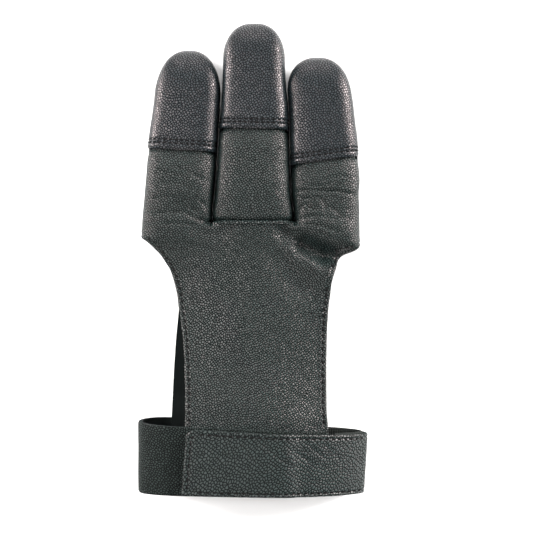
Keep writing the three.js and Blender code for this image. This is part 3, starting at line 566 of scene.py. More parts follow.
def index_edges(at):
    beside = middle_edges(at * INDEX_FINGER_LENGTH / MIDDLE_FINGER_LENGTH)[1]
    left = beside + curve(INDEX_WIDTHS, "gap", at) * FINGER_GAP
    return left, left + curve(INDEX_WIDTHS, "width", at) * INDEX_FINGER_WIDTH


MIDDLE = Finger(
    "middle_tip_cap",
    middle_edges,
    length=MIDDLE_FINGER_LENGTH,
    height=FINGER_THICKNESS,
    tip_length=16.4,
    cap_length=47.5,
    cap_slope=-0.02,
)
RING = Finger(
    "ring_tip_cap",
    ring_edges,
    length=RING_FINGER_LENGTH,
    height=FINGER_THICKNESS * SIDE_FINGER_SHARE,
    tip_length=19.5,
    cap_length=44.8,
    cap_slope=-0.06,
)
INDEX = Finger(
    "index_tip_cap",
    index_edges,
    length=INDEX_FINGER_LENGTH,
    height=FINGER_THICKNESS * SIDE_FINGER_SHARE,
    tip_length=16.4,
    cap_length=46.2,
    cap_slope=0.13,
)

LEFT_X = float(ring_edges(0.0)[0])
RIGHT_X = float(index_edges(0.0)[1])
KNUCKLE_WIDTH = RIGHT_X - LEFT_X
KNUCKLE_X = (LEFT_X + RIGHT_X) / 2
PALM_WRIST = (PALM_WRIST_OFFSET - PALM_WRIST_WIDTH / 2, PALM_WRIST_OFFSET + PALM_WRIST_WIDTH / 2)
BACK_WRIST = (BACK_WRIST_OFFSET - BACK_WRIST_WIDTH / 2, BACK_WRIST_OFFSET + BACK_WRIST_WIDTH / 2)


class Loop:
    """The band's closed curve seen along the hand, from its right end over the front and back."""

    def __init__(self):
        rows = np.array([[r["x"] * BAND_WIDTH + BAND_OFFSET, r["z"] * BAND_DEPTH] for r in LOOP])
        count = len(rows)
        at = np.linspace(0, count, LOOP_SAMPLES + 1)
        k = np.floor(at).astype(int) % count
        t = (at - np.floor(at))[:, None]
        p0, p1, p2, p3 = (rows[(k + i) % count] for i in (-1, 0, 1, 2))
        chords = (p1 - p0, p2 - p1, p3 - p2)
        d0, d1, d2 = (np.linalg.norm(chord, axis=1)[:, None] ** 0.5 for chord in chords)
        start = ((p1 - p0) / d0 - (p2 - p0) / (d0 + d1) + (p2 - p1) / d1) * d1
        end = ((p2 - p1) / d1 - (p3 - p1) / (d1 + d2) + (p3 - p2) / d2) * d1
        quadratic = -3 * p1 + 3 * p2 - 2 * start - end
        cubic = 2 * p1 - 2 * p2 + start + end
        points = p1 + start * t + quadratic * t**2 + cubic * t**3
        tangent = start + 2 * quadratic * t + 3 * cubic * t**2
        tangent /= np.linalg.norm(tangent, axis=1)[:, None]
        self.x = points[:, 0]
        self.z = np.maximum(points[:, 1], 0)
        self.nx = tangent[:, 1]
        self.nz = -tangent[:, 0]
        steps = np.hypot(np.diff(self.x), np.diff(self.z))
        self.run = np.concatenate(([0], np.cumsum(steps)))
        self.length = self.run[-1]

    def at(self, run):
        """The point and outward normal at lengths round the loop: x, z, nx, nz."""
        run = np.mod(run, self.length)
        return tuple(np.interp(run, self.run, v) for v in (self.x, self.z, self.nx, self.nz))

    def across(self, x, side):
        """The length at which the front (side 1) or the back (side -1) passes x."""
        facing = self.nz * side > LOOP_FACING
        order = np.argsort(self.x[facing])
        return np.interp(x, self.x[facing][order], self.run[facing][order])


LOOP_CURVE = Loop()


def inside_band(x, side):
    """The height that a panel may reach inside the strap."""
    _, z, _, nz = LOOP_CURVE.at(LOOP_CURVE.across(x, side))
    return z - side * (STRAP_LEATHER + PANEL_CLEARANCE) / np.abs(nz)


def band_share(x):
    return (x - BAND_OFFSET) / BAND_WIDTH + 0.5


def band_low(x):
    return BAND_LOW_Y + BAND_DROP * (1 - band_share(x))


def band_high(x):
    return band_low(x) + STRAP_WIDTH - BAND_NARROWING * band_share(x)


def on_band(x, y, z):
    """A point of the band, whose lower right end leans in and whose back lies nearer the fingers."""
    up = (y - band_low(x)) / STRAP_WIDTH
    below = np.maximum(1 - up / TAPER_TOP_SHARE, 0)
    lean = BAND_TAPER * below * smooth((band_share(x) - TAPER_START_SHARE) / (1 - TAPER_START_SHARE))
    return np.stack([x - lean, y + BAND_BACK_RISE * (1 - z / BAND_DEPTH) * up, z], axis=-1)


def away_from(x, y, x1, y1, x2, y2, bow=0.0):
    """How far each point is from a segment whose middle is bowed sideways by a share of its length."""
    run_x, run_y = x2 - x1, y2 - y1
    squared = run_x**2 + run_y**2
    t = np.clip(((x - x1) * run_x + (y - y1) * run_y) / squared, 0, 1)
    shift = 4 * bow * t * (1 - t)
    return np.hypot(x - x1 - run_x * t + run_y * shift, y - y1 - run_y * t - run_x * shift), t


def palm_xy(row, end):
    """A table row's start (1) or end (2) on the palm, in millimetres."""
    return row[f"x{end}"] * KNUCKLE_WIDTH + KNUCKLE_X, BASE_Y - row[f"y{end}"] * PALM_LENGTH


def fold_rise(x, y):
    """How far the folds move a point of the palm. They are flat where it goes under the strap."""
    valley = np.zeros(np.broadcast(x, y).shape)
    ridge = valley.copy()
    for row in FOLDS:
        away, _ = away_from(x, y, *palm_xy(row, 1), *palm_xy(row, 2))
        rise = row["rise"] * FINGER_THICKNESS * bell(away, row["width"] * FINGER_THICKNESS)
        valley += np.maximum(-rise, 0) ** FOLD_BLEND
        ridge += np.maximum(rise, 0) ** FOLD_BLEND
    rise = ridge ** (1 / FOLD_BLEND) - valley ** (1 / FOLD_BLEND)
    return rise * (1 - smooth(((BASE_Y - y) / PALM_LENGTH - FOLDS_END) / (1 - FOLDS_END)))


def crease_depth(x, y, rows, end_of, leather):
    """The depth of the deepest fine crease at each point. A crease fades out at both its ends."""
    deepest = np.zeros(np.broadcast(x, y).shape)
    for row in rows:
        away, t = away_from(x, y, *end_of(row, 1), *end_of(row, 2), row["bow"])
        fade = np.sin(np.pi * mix(CREASE_START, 1 - CREASE_START, t)) ** CREASE_POWER
        depth = row["depth"] * leather * fade * bell(away, row["width"] * FINGER_THICKNESS)
        deepest = np.maximum(deepest, depth)
    return deepest


def palm_edges(at):
    left = mix(LEFT_X, PALM_WRIST[0], curve(PALM_EDGES, "left", at))
    return left, mix(RIGHT_X, PALM_WRIST[1], curve(PALM_EDGES, "right", at))


def palm_arch(x, y):
    """The palm panel's height at a point, before the finger bases pull it down to the seams."""
    at = np.maximum((BASE_Y - y) / PALM_LENGTH, 0)
    left, right = palm_edges(at)
    out = (x - (left + right) / 2) / ((right - left) / 2)
    in_band = inside_band(np.clip(x, *PALM_WRIST), 1)
    droop = curve(PALM_HEIGHTS, "droop", at) * PALM_HEIGHT
    middle = mix(PALM_HEIGHT, in_band, curve(PALM_HEIGHTS, "rise", at))
    return middle - droop * out**2 * (1 - smooth((at - DROOP_END) / DROOP_FADE))


def section(count, squareness):
    """A finger's cross-section: how far out and up each column lies, at equal lengths along it."""
    angle = np.linspace(0, np.pi / 2, SECTION_SAMPLES)
    out = np.sin(angle) ** (2 / squareness)
    up = np.clip(np.cos(angle), 0, 1) ** (2 / squareness)
    up[-1] = 0
    run = np.concatenate(([0], np.cumsum(np.hypot(np.diff(out), np.diff(up)))))
    side = np.linspace(-1, 1, count + 1)
    wanted = np.abs(side) * run[-1]
    return np.sign(side) * np.interp(wanted, run, out), np.interp(wanted, run, up)


FRONT_OUT, FRONT_UP = section(COLUMNS, FRONT_SQUARENESS)
BACK_OUT, BACK_UP = section(BACK_COLUMNS, BACK_SQUARENESS)


def tip_factors(finger, y):
    """How much a finger's width and height shrink over its rounded tip."""
    into = np.clip((y - finger.tip_y + finger.tip_length) / finger.tip_length, 0, 1)
    factor = np.maximum(1 - into**TIP_ROUNDNESS, 0) ** (1 / TIP_ROUNDNESS)
    return np.maximum(factor, TIP_FLAT_SHARE), factor


def finger_front(finger, y, side=0.0, top=0.0):
    """Rows across a finger's front at the levels y, drawn in at its sides and down at its top."""
    y = np.asarray(y, float)[:, None]
    side = np.broadcast_to(side, y[:, 0].shape)[:, None]
    top = np.broadcast_to(top, y[:, 0].shape)[:, None]
    left, right = finger.edges_at(y)
    width, height = tip_factors(finger, y)
    half = np.maximum((right - left) / 2 * width - side, LEAST_HALF_WIDTH)
    x = (left + right) / 2 + half * FRONT_OUT
    full = smooth((y - BASE_Y) / finger.length / CROWN_SHARE)
    crown = mix(palm_arch(x, BASE_Y), finger.height, full) + fold_rise(x, y) * (1 - full) - top
    z = FRONT_SEAM_Z + np.maximum(crown - FRONT_SEAM_Z, LEAST_RISE) * height * FRONT_UP
    return np.stack([x, np.broadcast_to(y, x.shape), z], axis=-1)


def finger_back(finger, y):
    """Rows across a finger's back, whose underside is flat where it lies on the surface."""
    y = np.asarray(y, float)[:, None]
    left, right = finger.edges_at(y)
    width, height = tip_factors(finger, y)
    x = (left + right) / 2 + (right - left) / 2 * width * BACK_OUT
    z = np.maximum(BACK_SEAM_Z - BACK_SEAM_Z * BACK_OVERSHOOT * height * BACK_UP, 0)
    return np.stack([x, np.broadcast_to(y, x.shape), z], axis=-1)


def levels(start, end, step):
    return np.linspace(start, end, max(int(round(abs(end - start) / step)), 1) + 1)


def tip_levels(finger):
    turn = np.linspace(0, np.pi / 2, TIP_ROWS + 1)
    return finger.tip_y - finger.tip_length * (1 - np.sin(turn))


def stack(start, *more):
    """Levels one after another, without repeating the ones that they share."""
    return np.concatenate([start, *(part[1:] for part in more)])


def run_along(points, axis):
    """The length run along a grid's rows (axis 1) or columns (axis 0), from its first point."""
    steps = np.linalg.norm(np.diff(points, axis=axis), axis=2)
    start = np.zeros_like(np.take(steps, [0], axis=axis))
    return np.concatenate([start, np.cumsum(steps, axis=axis)], axis=axis)


def flattened(patch, spans=1):
    """Where a grid's points lie on the flat hide. Each span of columns is laid out from its own middle."""
    columns = (patch.shape[1] - 1) // spans
    across = run_along(patch, 1)
    hide = np.empty((*patch.shape[:2], 2))
    for span in range(spans):
        middle = span * columns + columns // 2
        part = slice(span * columns, (span + 1) * columns + 1)
        hide[:, part, 0] = across[:, part] - across[:, [middle]] + patch[:, [middle], 0]
    middle = patch[:, patch.shape[1] // 2]
    down = run_along(middle[:, None], 0)[:, 0]
    anchor = np.argmin(np.abs(middle[:, 1] - BASE_Y))
    heading = np.sign(middle[-1, 1] - middle[0, 1])
    hide[:, :, 1] = (middle[anchor, 1] + heading * (down - down[anchor]))[:, None]
    return hide


def weld_keys(points):
    """Whole numbers that are the same for points that weld."""
    return np.floor(points * WELD_CELLS + WELD_OFFSET).astype(np.int64)


def weld(patches, hides):
    """The patches' points without repeats, their places on the hide, and the quads between them."""
    points = np.concatenate([patch.reshape(-1, 3) for patch in patches])
    _, first, back = np.unique(weld_keys(points), axis=0, return_index=True, return_inverse=True)
    hide = np.concatenate([patch.reshape(-1, 2) for patch in hides])
    quads = []
    offset = 0
    for patch in patches:
        rows, columns = patch.shape[:2]
        grid = back.reshape(-1)[offset : offset + rows * columns].reshape(rows, columns)
        offset += rows * columns
        corners = (grid[:-1, :-1], grid[1:, :-1], grid[1:, 1:], grid[:-1, 1:])
        quads.append(np.stack([corner.reshape(-1) for corner in corners], axis=1))
    return points[first], hide[first], np.concatenate(quads)


def with_normals(points, quads):
    """The quads that have an area, and each point's normal over them."""
    crossed = np.cross(points[quads[:, 2]] - points[quads[:, 0]], points[quads[:, 3]] - points[quads[:, 1]])
    area = np.linalg.norm(crossed, axis=1)
    real = area > TINY
    quads, facing = quads[real], crossed[real] / area[real][:, None]
    normals = np.zeros_like(points)
    for corner in range(4):
        np.add.at(normals, quads[:, corner], facing)
    return quads, normals / np.maximum(np.linalg.norm(normals, axis=1), TINY)[:, None]


def rim_walls(quads, count):
    """Quads from the outer face to the inner one, along the edges that have a quad on one side only."""
    edges = np.concatenate([quads[:, [i, (i + 1) % 4]] for i in range(4)])
    edges = edges[edges[:, 0] != edges[:, 1]]
    code = edges[:, 0] * count + edges[:, 1]
    reverse = edges[:, 1] * count + edges[:, 0]
    rim = edges[~np.isin(code, reverse)]
    return np.stack([rim[:, 1], rim[:, 0], rim[:, 0] + count, rim[:, 1] + count], axis=1)


def sheet(name, patches, thickness, faces_up, relief=None, settle=None, both_faces=False, hides=None):
    """A closed leather piece: welded patches, relief in the outer face, an inner face behind it.

    relief gives how far each outer point moves, and settle may move the inner ones. Slot 0 is the
    outer face, slot 1 the inner one and slot 2 the cut edge between them.
    """
    outer, hide, quads = weld(patches, hides or [flattened(patch) for patch in patches])
    if not faces_up:
        quads = quads[:, ::-1]
    quads, normals = with_normals(outer, quads)
    inner = outer - normals * thickness
    if settle:
        settle(inner, outer)
    if relief:
        pressed = normals * relief(outer)[:, None]
        outer = outer + pressed
        inner = inner - pressed * both_faces
    count = len(outer)
    walls = rim_walls(quads, count)
    faces = [*quads.tolist(), *(quads[:, ::-1] + count).tolist(), *walls.tolist()]
    faces = [list(dict.fromkeys(face)) for face in faces]
    mesh = bpy.data.meshes.new(name)
    mesh.from_pydata((np.concatenate([outer, inner]) * MM).tolist(), [], faces)
    on_hide = np.column_stack([np.concatenate([hide, hide]) * MM, np.zeros(2 * count)])
    mesh.attributes.new(HIDE, "FLOAT_VECTOR", "POINT").data.foreach_set("vector", on_hide.ravel())
    slots = [0] * len(quads) + [1] * len(quads) + [2] * len(walls)
    mesh.polygons.foreach_set("material_index", slots)
    mesh.polygons.foreach_set("use_smooth", [True] * len(faces))
    mesh.set_sharp_from_angle(angle=math.radians(SHARP_DEGREES))
    mesh.update()
    return place(name, mesh)


def place(name, mesh):
    """Puts a mesh into the scene as a piece of the one body."""
    piece = bpy.data.objects.new(name, mesh)
    bpy.context.scene.collection.objects.link(piece)
    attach(piece, "root")
    return piece


def finish(piece, slot, *materials):
    """Gives a piece its materials; its slot is not used."""
    for material in materials:
        piece.data.materials.append(material)


def above_seam(inner, outer):
    """Keeps a front's inner face above the side seams, where it meets them."""
    at_seam = (outer[:, 1] >= BASE_Y) | (outer[:, 2] < FRONT_SEAM_Z + SEAM_TOLERANCE)
    inner[:, 2] = np.where(at_seam, np.maximum(inner[:, 2], FRONT_SEAM_Z), inner[:, 2])


def below_seam(inner, outer):
    """Keeps the back's inner face below the side seams, where it meets them."""
    at_seam = outer[:, 2] > BACK_SEAM_Z - SEAM_TOLERANCE
    inner[:, 2] = np.where(at_seam, np.minimum(inner[:, 2], BACK_SEAM_Z), inner[:, 2])


def hand_levels(step):
    """The levels of a panel's rows from the finger base down to its end inside the band."""
    low_end = band_low(0) + PANEL_INSET
    return stack(levels(BASE_Y, STRAP_TOP_Y, step), levels(STRAP_TOP_Y, low_end, UNDER_STRAP_STEP))


def hand_rows(section, edges, y, loose, heights):
    """Rows across the hand, whose columns are those of the three fingers side by side.

    heights gives the height at the seams and away from them, and "loose" how far each part has left
    the seams: the left free edge (-1), the right one (1) and all between (0).
    """
    ring, index = ring_edges(0.0), index_edges(0.0)
    spans = [(*ring, -1), (ring[1], index[0], 0), (*index, 1)]
    strips = []
    for number, (low, high, side) in enumerate(spans):
        out, up = (columns[1 if number else 0 :] for columns in section)
        x = mix(*edges, (mix(low, high, (out + 1) / 2) - LEFT_X) / KNUCKLE_WIDTH)
        share = np.where(out * side > 0, loose[side], loose[0])
        strips.append(np.stack([x, np.broadcast_to(y, x.shape), mix(*heights(x, up), share)], axis=-1))
    return np.concatenate(strips, axis=1)


def palm_rows():
    """The palm panel's lower part."""
    y = hand_levels(FRONT_STEP)[:, None]
    at = (BASE_Y - y) / PALM_LENGTH
    loose = {
        -1: curve(PALM_HEIGHTS, "freeLeft", at),
        0: smooth(at * PALM_LENGTH / (FINGER_THICKNESS * DIMPLE_SHARE)),
        1: curve(PALM_HEIGHTS, "freeRight", at),
    }

    def heights(x, up):
        arch = palm_arch(x, y) + fold_rise(x, y)
        return FRONT_SEAM_Z + (arch - FRONT_SEAM_Z) * up, arch

    return hand_rows((FRONT_OUT, FRONT_UP), palm_edges(at), y, loose, heights)


def finger_rows(finger, lowest):
    """A finger's front from under its cap down to a level near the finger base."""
    start, end = finger.cap_y + CLEARANCE, finger.cap_y - CAP_EDGE_RUN
    y = stack(
        levels(finger.cap_y + CAP_LAP, start, HIDDEN_STEP),
        levels(start, end, CAP_EDGE_STEP),
        levels(end, lowest, FRONT_STEP),
    )
    below = finger.cap_y - CLEARANCE - y
    step = SETTINGS["cap"] + CLEARANCE
    top = (1 - np.clip(below / (CAP_LAP * CAP_EASE), 0, 1)) ** CAP_EASE_POWER
    side = mix(1, top * SIDE_SHARE, smooth(below / SIDE_EASE))
    rows = finger_front(finger, y, side * step, top * step)
    follow = smooth((y - finger.cap_y + SLANT_START) / SLANT_RUN)[:, None]
    rows[:, :, 1] += follow * (finger.cap_edge(rows[:, :, 0]) - finger.cap_y)
    return rows


def free_edges():
    """The palm panel's two free edges from the finger base to the band, each a run of x and y."""
    lines = []
    for number, side in enumerate(("left", "right")):
        at = levels(FREE_AT[side], HEM_END, HEM_STEP)
        lines.append(np.stack([palm_edges(at)[number], BASE_Y - at * PALM_LENGTH], axis=1))
    return lines


def distance_to(points, line):
    """The distance of each point from a run of x and y."""
    best = np.full(len(points), np.inf)
    for a, b in zip(line[:-1], line[1:]):
        away, _ = away_from(points[:, 0], points[:, 1], *a, *b)
        best = np.minimum(best, away)
    return best


def seam_roll(points, seam_z):
    """Where a piece meets a side seam it rolls in, puckered by the stitches inside."""
    pucker = 1 + SIDE_PUCKER_DEPTH * np.sin(points[:, 1] * 2 * math.pi / SIDE_PUCKER)
    return -mark("side seam", np.abs(points[:, 2] - seam_z)) * pucker


def palm_relief(points):
    x, y = points[:, 0], points[:, 1]
    down = BASE_Y - y
    relief = soft_swell("panel", x, y, seed=3)
    relief -= crease_depth(x, y, CREASES, palm_xy, SETTINGS["leather"])
    hem = np.full(len(points), np.inf)
    for line in free_edges():
        near = (down > HEM_START) & (np.abs(x - np.interp(-y, -line[:, 1], line[:, 0])) < HEM_REACH)
        hem[near] = np.minimum(hem[near], distance_to(points[near], line))
    relief += HEM_RAISE * (1 - smooth((hem / HEM_WIDTH - 1 + HEM_FALL) / (2 * HEM_FALL)))
    relief -= mark("hem stitches", hem - HEM_STITCH) + mark("cut edge", hem)
    left, right = ring_edges(0.0)[1], index_edges(0.0)[0]
    across = (x > left - SEAM_SIDE) & (x < right + SEAM_SIDE) & (down > -SEAM_ABOVE)
    pucker = LEAST_PUCKER + waves(x, SEAM_PUCKER)
    roll = pucker * mark("palm seam roll", down - SEAM_ROLL) - mark("palm seam", down)
    relief += np.where(across, roll, 0)
    relief += np.where(down < HEM_START, seam_roll(points, FRONT_SEAM_Z), 0)
    return relief


def build_palm_panel():
    patches = [finger_rows(RING, BASE_Y), finger_rows(INDEX, BASE_Y), palm_rows()]
    hides = [flattened(patch, spans) for patch, spans in zip(patches, (1, 1, 3))]
    return sheet("palm_leather", patches, SETTINGS["leather"], True, palm_relief, above_seam, hides=hides)


def build_middle_front():
    base = BASE_Y + CLEARANCE
    rows = finger_rows(MIDDLE, base)

    def relief(points):
        x, y = points[:, 0], points[:, 1]
        up = y - base
        puckers = waves(x, SEAM_PUCKER, FINGER_PHASE) * mark("finger puckers", up)
        swell = soft_swell("panel", x, y, seed=7)
        return swell - mark("finger seam", up) - puckers + seam_roll(points, FRONT_SEAM_Z)

    return sheet("middle_finger_leather", [rows], SETTINGS["leather"], True, relief, above_seam)


def build_cap(finger):
    start = finger.tip_y - finger.tip_length
    stitched = finger.cap_y + CAP_SLANT_START
    y = stack(
        levels(finger.cap_y, stitched, CAP_STITCH_STEP),
        levels(stitched, start, FRONT_STEP),
        tip_levels(finger),
    )
    rows = finger_front(finger, y[::-1])
    follow = 1 - smooth((rows[:, :, 1] - stitched) / CAP_SLANT_RUN)
    rows[:, :, 1] += follow * (finger.cap_edge(rows[:, :, 0]) - finger.cap_y)

    def relief(points):
        x, y = points[:, 0], points[:, 1]
        up = y - finger.cap_edge(x)
        low, high = CAP_STITCHES
        depth = mark("cap stitches", up - low) + mark("cap stitches", up - high)
        depth += mark("cap edge", up) - mark("cap hem", up - low / 2)
        swell = CAP_SWELL_SHARE * soft_swell("panel", x, y, seed=11)
        return swell - depth + seam_roll(points, FRONT_SEAM_Z)

    return sheet(finger.node + "_leather", [rows], SETTINGS["cap"], True, relief, above_seam)


def build_back_panel():
    def rows_of(finger):
        y = stack(levels(BASE_Y, finger.tip_y - finger.tip_length, BACK_STEP), tip_levels(finger))
        return finger_back(finger, y[::-1])

    y = hand_levels(BACK_STEP)[:, None]
    at = (BASE_Y - y) / PALM_LENGTH
    left = mix(LEFT_X, BACK_WRIST[0], curve(BACK_EDGES, "left", at))
    right = mix(RIGHT_X, BACK_WRIST[1], curve(BACK_EDGES, "right", at))
    settled = smooth(at * PALM_LENGTH / (FINGER_THICKNESS * DIMPLE_SHARE))
    free = smooth((at - BACK_FREE_AT) / BACK_FREE_FADE)
    lift = smooth((at - BACK_LIFT_AT) / BACK_LIFT_FADE)

    def heights(x, up):
        pulled = BACK_SEAM_Z * (1 - np.minimum(BACK_OVERSHOOT * up, 1))
        return pulled, inside_band(np.clip(x, *BACK_WRIST), -1) * lift

    palm = hand_rows((BACK_OUT, BACK_UP), (left, right), y, {-1: free, 0: settled, 1: free}, heights)
    middle = rows_of(MIDDLE)
    middle[-1] = palm[0, BACK_COLUMNS : 2 * BACK_COLUMNS + 1]
    patches = [rows_of(RING), middle, rows_of(INDEX), palm]

    def relief(points):
        return np.where(points[:, 1] > BASE_Y - HEM_START, seam_roll(points, BACK_SEAM_Z), 0)

    return sheet("back_leather", patches, SETTINGS["leather"], False, relief, below_seam)


def ribbon(name, runs, shape, across, thickness, relief=None, both_faces=False):
    """A band piece round part of the loop.

    shape gives its outer offset, its edges and how far the lower edge leads the upper one, and
    "across" the shares of its width at which it has points.
    """
    x, _, _, _ = LOOP_CURVE.at(runs)
    outer, low, high, lean = (np.broadcast_to(v, runs.shape)[:, None] for v in shape(x, runs))
    share = np.asarray(across)[None, :]
    run = runs[:, None] + lean * (1 - share)
    px, pz, nx, nz = LOOP_CURVE.at(run)
    rows = on_band(px + nx * outer, mix(low, high, share), pz + nz * outer)
    run, share = np.broadcast_to(run, px.shape), np.broadcast_to(share, px.shape)

    def pressed(points):
        _, first = np.unique(weld_keys(rows.reshape(-1, 3)), axis=0, return_index=True)
        return relief(run.reshape(-1)[first], share.reshape(-1)[first], points)

    hides = [np.stack([run, run_along(rows, 1)], axis=-1)]
    marks = pressed if relief else None
    return sheet(name, [rows], thickness, False, marks, both_faces=both_faces, hides=hides)


def from_edges(share):
    """How far a share of a band's width is from its nearer edge."""
    return np.minimum(share, 1 - share) * STRAP_WIDTH


def shares_across(width, step):
    """Shares across a band: fine near both edges, where the stitches are, and coarser between."""
    near = np.arange(0, BAND_EDGE_WIDTH, BAND_EDGE_STEP)
    between = levels(BAND_EDGE_WIDTH, width - BAND_EDGE_WIDTH, step)
    return np.concatenate([near, between, width - near[::-1]]) / width


TAB_END_X = BAND_OFFSET + BAND_WIDTH / 2 - TAB_LENGTH
STRAP_FRONT_X = PALM_WRIST[1] - CLEARANCE
STRAP_BACK_X = BACK_WRIST[1] + ELASTIC_LAP + CLEARANCE * 2
STRAP_START = float(LOOP_CURVE.across(STRAP_FRONT_X, 1))
STRAP_END = float(LOOP_CURVE.across(STRAP_BACK_X, -1))
ELASTIC_START = float(LOOP_CURVE.across(STRAP_BACK_X - ELASTIC_LAP, -1))
ELASTIC_END = float(LOOP_CURVE.across(STRAP_FRONT_X + 2 * STRAP_LEATHER, 1)) + LOOP_CURVE.length
TAB_END = float(LOOP_CURVE.across(TAB_END_X, 1))
PAD_START = float(LOOP_CURVE.across(TAB_END_X + PAD_LENGTH, 1))


def build_strap():
    runs = levels(STRAP_START, STRAP_END, STRAP_STEP)

    def shape(x, _):
        return 0.0, band_low(x), band_high(x), 0.0

    def relief(run, share, points):
        swell = soft_swell("strap", run, share * STRAP_WIDTH, seed=21)
        return swell * smooth(points[:, 2] / FLOOR_FADE) - mark("cut edge", from_edges(share))

    across = shares_across(STRAP_WIDTH, STRAP_STEP)
    return ribbon("strap_leather", runs, shape, across, STRAP_LEATHER, relief)


def build_elastic():
    runs = levels(ELASTIC_START, ELASTIC_END, ELASTIC_STEP)
    step = STRAP_LEATHER + CLEARANCE

    def shape(x, run):
        past = run - STRAP_END
        outer = -step * (1 - smooth((past - CLEARANCE) / (ELASTIC_EASE * step)))
        return outer, band_low(x) + ELASTIC_INSET, band_high(x) - ELASTIC_INSET, 0.0

    def relief(run, share, _):
        rib = 0.5 + 0.5 * np.cos(run * 2 * math.pi / RIB_PITCH)
        return -RIB_DEPTH * rib - mark("cut edge", from_edges(share))

    across = shares_across(STRAP_WIDTH - 2 * ELASTIC_INSET, ELASTIC_STEP_ACROSS)
    return ribbon("elastic_ribs", runs, shape, across, ELASTIC, relief, both_faces=True)


def build_pad():
    runs = levels(PAD_START, TAB_END - PAD_END_INSET, PAD_STEP)

    def shape(x, _):
        return CLEARANCE + PAD, band_low(x) + TAB_CORNER, band_high(x) - TAB_CORNER, 0.0

    return ribbon("closure_fabric", runs, shape, shares_across(PAD_WIDTH, PAD_STEP_ACROSS), PAD)


def tab_shape(x, run):
    """The tab's outer offset, its edges and its lean. Past the pad it sinks onto the strap."""
    beyond = smooth((PAD_START - run) / (PAD_LENGTH * TAB_SINK_SHARE))
    inner = CLEARANCE + (PAD + CLEARANCE) * (1 - beyond)
    to_end = TAB_END - run
    low = band_low(x) + TAB_RAISE * (1 - band_share(x))
    narrowing = TAB_NARROWING * band_share(x) ** 2
    high = band_high(x) - CLEARANCE - narrowing - np.maximum(TAB_CORNER - to_end, 0)
    lean = TAB_END_SLANT * smooth(1 - to_end / (TAB_END_SLANT * TAB_SLANT_RUN))
    return inner + TAB_LEATHER, low, high, lean


def build_tab():
    corner_start = TAB_END - TAB_CORNER
    runs = stack(levels(-TAB_WRAP, corner_start, TAB_STEP), levels(corner_start, TAB_END, TAB_END_STEP))

    def crease_end(row, end):
        return TAB_END - row[f"x{end}"] * TAB_CREASE_REACH, row[f"y{end}"] * STRAP_WIDTH

    def relief(run, share, _):
        across = share * STRAP_WIDTH
        to_end = TAB_END - run + TAB_END_SLANT * (1 - share)
        below_top = STRAP_WIDTH - across + share * np.maximum(TAB_CORNER - TAB_END + run, 0)
        corner = np.maximum(below_top + to_end - TAB_CORNER, 0) * CORNER_SLOPE
        away = np.minimum(np.minimum(across, below_top), np.minimum(to_end, corner))
        stitch = np.where(to_end < TAB_END_HEM, away - TAB_END_STITCH, away - TAB_STITCH)
        swell = soft_swell("tab", run, across, seed=31)
        creases = crease_depth(run, across, TAB_CREASES, crease_end, TAB_LEATHER)
        return swell - mark("tab stitches", stitch) - creases - mark("cut edge", away)

    across = shares_across(STRAP_WIDTH, TAB_STEP)
    return ribbon("tab_leather", runs, tab_shape, across, TAB_LEATHER, relief)


def thread_mesh(name, stitches, radius):
    """One mesh of many short threads, each a tapered bar from a to b that bows out of the leather."""
    sides, stations = THREAD_SIDES, THREAD_STATIONS
    ring = np.linspace(0, 2 * math.pi, sides, endpoint=False)
    vertices, faces = [], []
    for a, b, normal in stitches:
        run = b - a
        side = np.cross(normal, run / np.linalg.norm(run))
        base = len(vertices)
        for t in stations:
            lift = 1 - (2 * t - 1) ** 2
            centre = a + run * t + normal * radius * (THREAD_RISE * lift - THREAD_SINK)
            size = radius * mix(THREAD_END, 1, lift)
            for angle in ring:
                vertices.append(centre + side * math.cos(angle) * size + normal * math.sin(angle) * size)
        for k in range(len(stations) - 1):
            for i in range(sides):
                j = (i + 1) % sides
                row, up = base + k * sides, base + (k + 1) * sides
                faces.append((row + i, row + j, up + j, up + i))
        faces.append(tuple(base + i for i in reversed(range(sides))))
        last = base + (len(stations) - 1) * sides
        faces.append(tuple(last + i for i in range(sides)))
    mesh = bpy.data.meshes.new(name)
    mesh.from_pydata((np.array(vertices) * MM).tolist(), [], faces)
    mesh.polygons.foreach_set("use_smooth", [True] * len(faces))
    mesh.update()
    return mesh


def surface_of(piece):
    """Finds points on a piece's surface, for its stitches to lie on."""
    vertices = [v.co / MM for v in piece.data.vertices]
    return BVHTree.FromPolygons(vertices, [tuple(p.vertices) for p in piece.data.polygons])


def stitch_line(surface, line, kind):
    """Stitches of one kind along a run of x, y and rough z, each laid on the surface below it."""
    pitch = STITCHES[kind]["pitch"]
    half = pitch * STITCHES[kind]["length"] / 2
    steps = np.linalg.norm(np.diff(line, axis=0), axis=1)
    run = np.concatenate(([0], np.cumsum(steps)))
    count = int(run[-1] / pitch)
    start = (run[-1] - count * pitch) / 2 + pitch / 2
    stitches = []
    for k in range(count):
        middle = start + k * pitch
        ends = [[np.interp(at, run, line[:, c]) for c in range(3)] for at in (middle - half, middle + half)]
        ends = np.array(ends)
        along = ends[1] - ends[0]
        sideways = np.array([-along[1], along[0], 0]) * STITCHES[kind]["lean"]
        found = []
        for end, sign in zip(ends, (-1, 1)):
            hit, normal, _, _ = surface.find_nearest(Vector(end + sideways * sign))
            found.append((np.array(hit), np.array(normal)))
        normal = found[0][1] + found[1][1]
        stitches.append((found[0][0], found[1][0], normal / np.linalg.norm(normal)))
    return stitches


def sew(name, kind, piece, lines, materials):
    """All the stitches of one kind on a piece, as one piece of thread."""
    surface = surface_of(piece)
    stitches = [stitch for line in lines for stitch in stitch_line(surface, line, kind)]
    thread = place(name, thread_mesh(kind + "_thread", stitches, SETTINGS["thread"]))
    finish(thread, "webbing", materials["thread"])


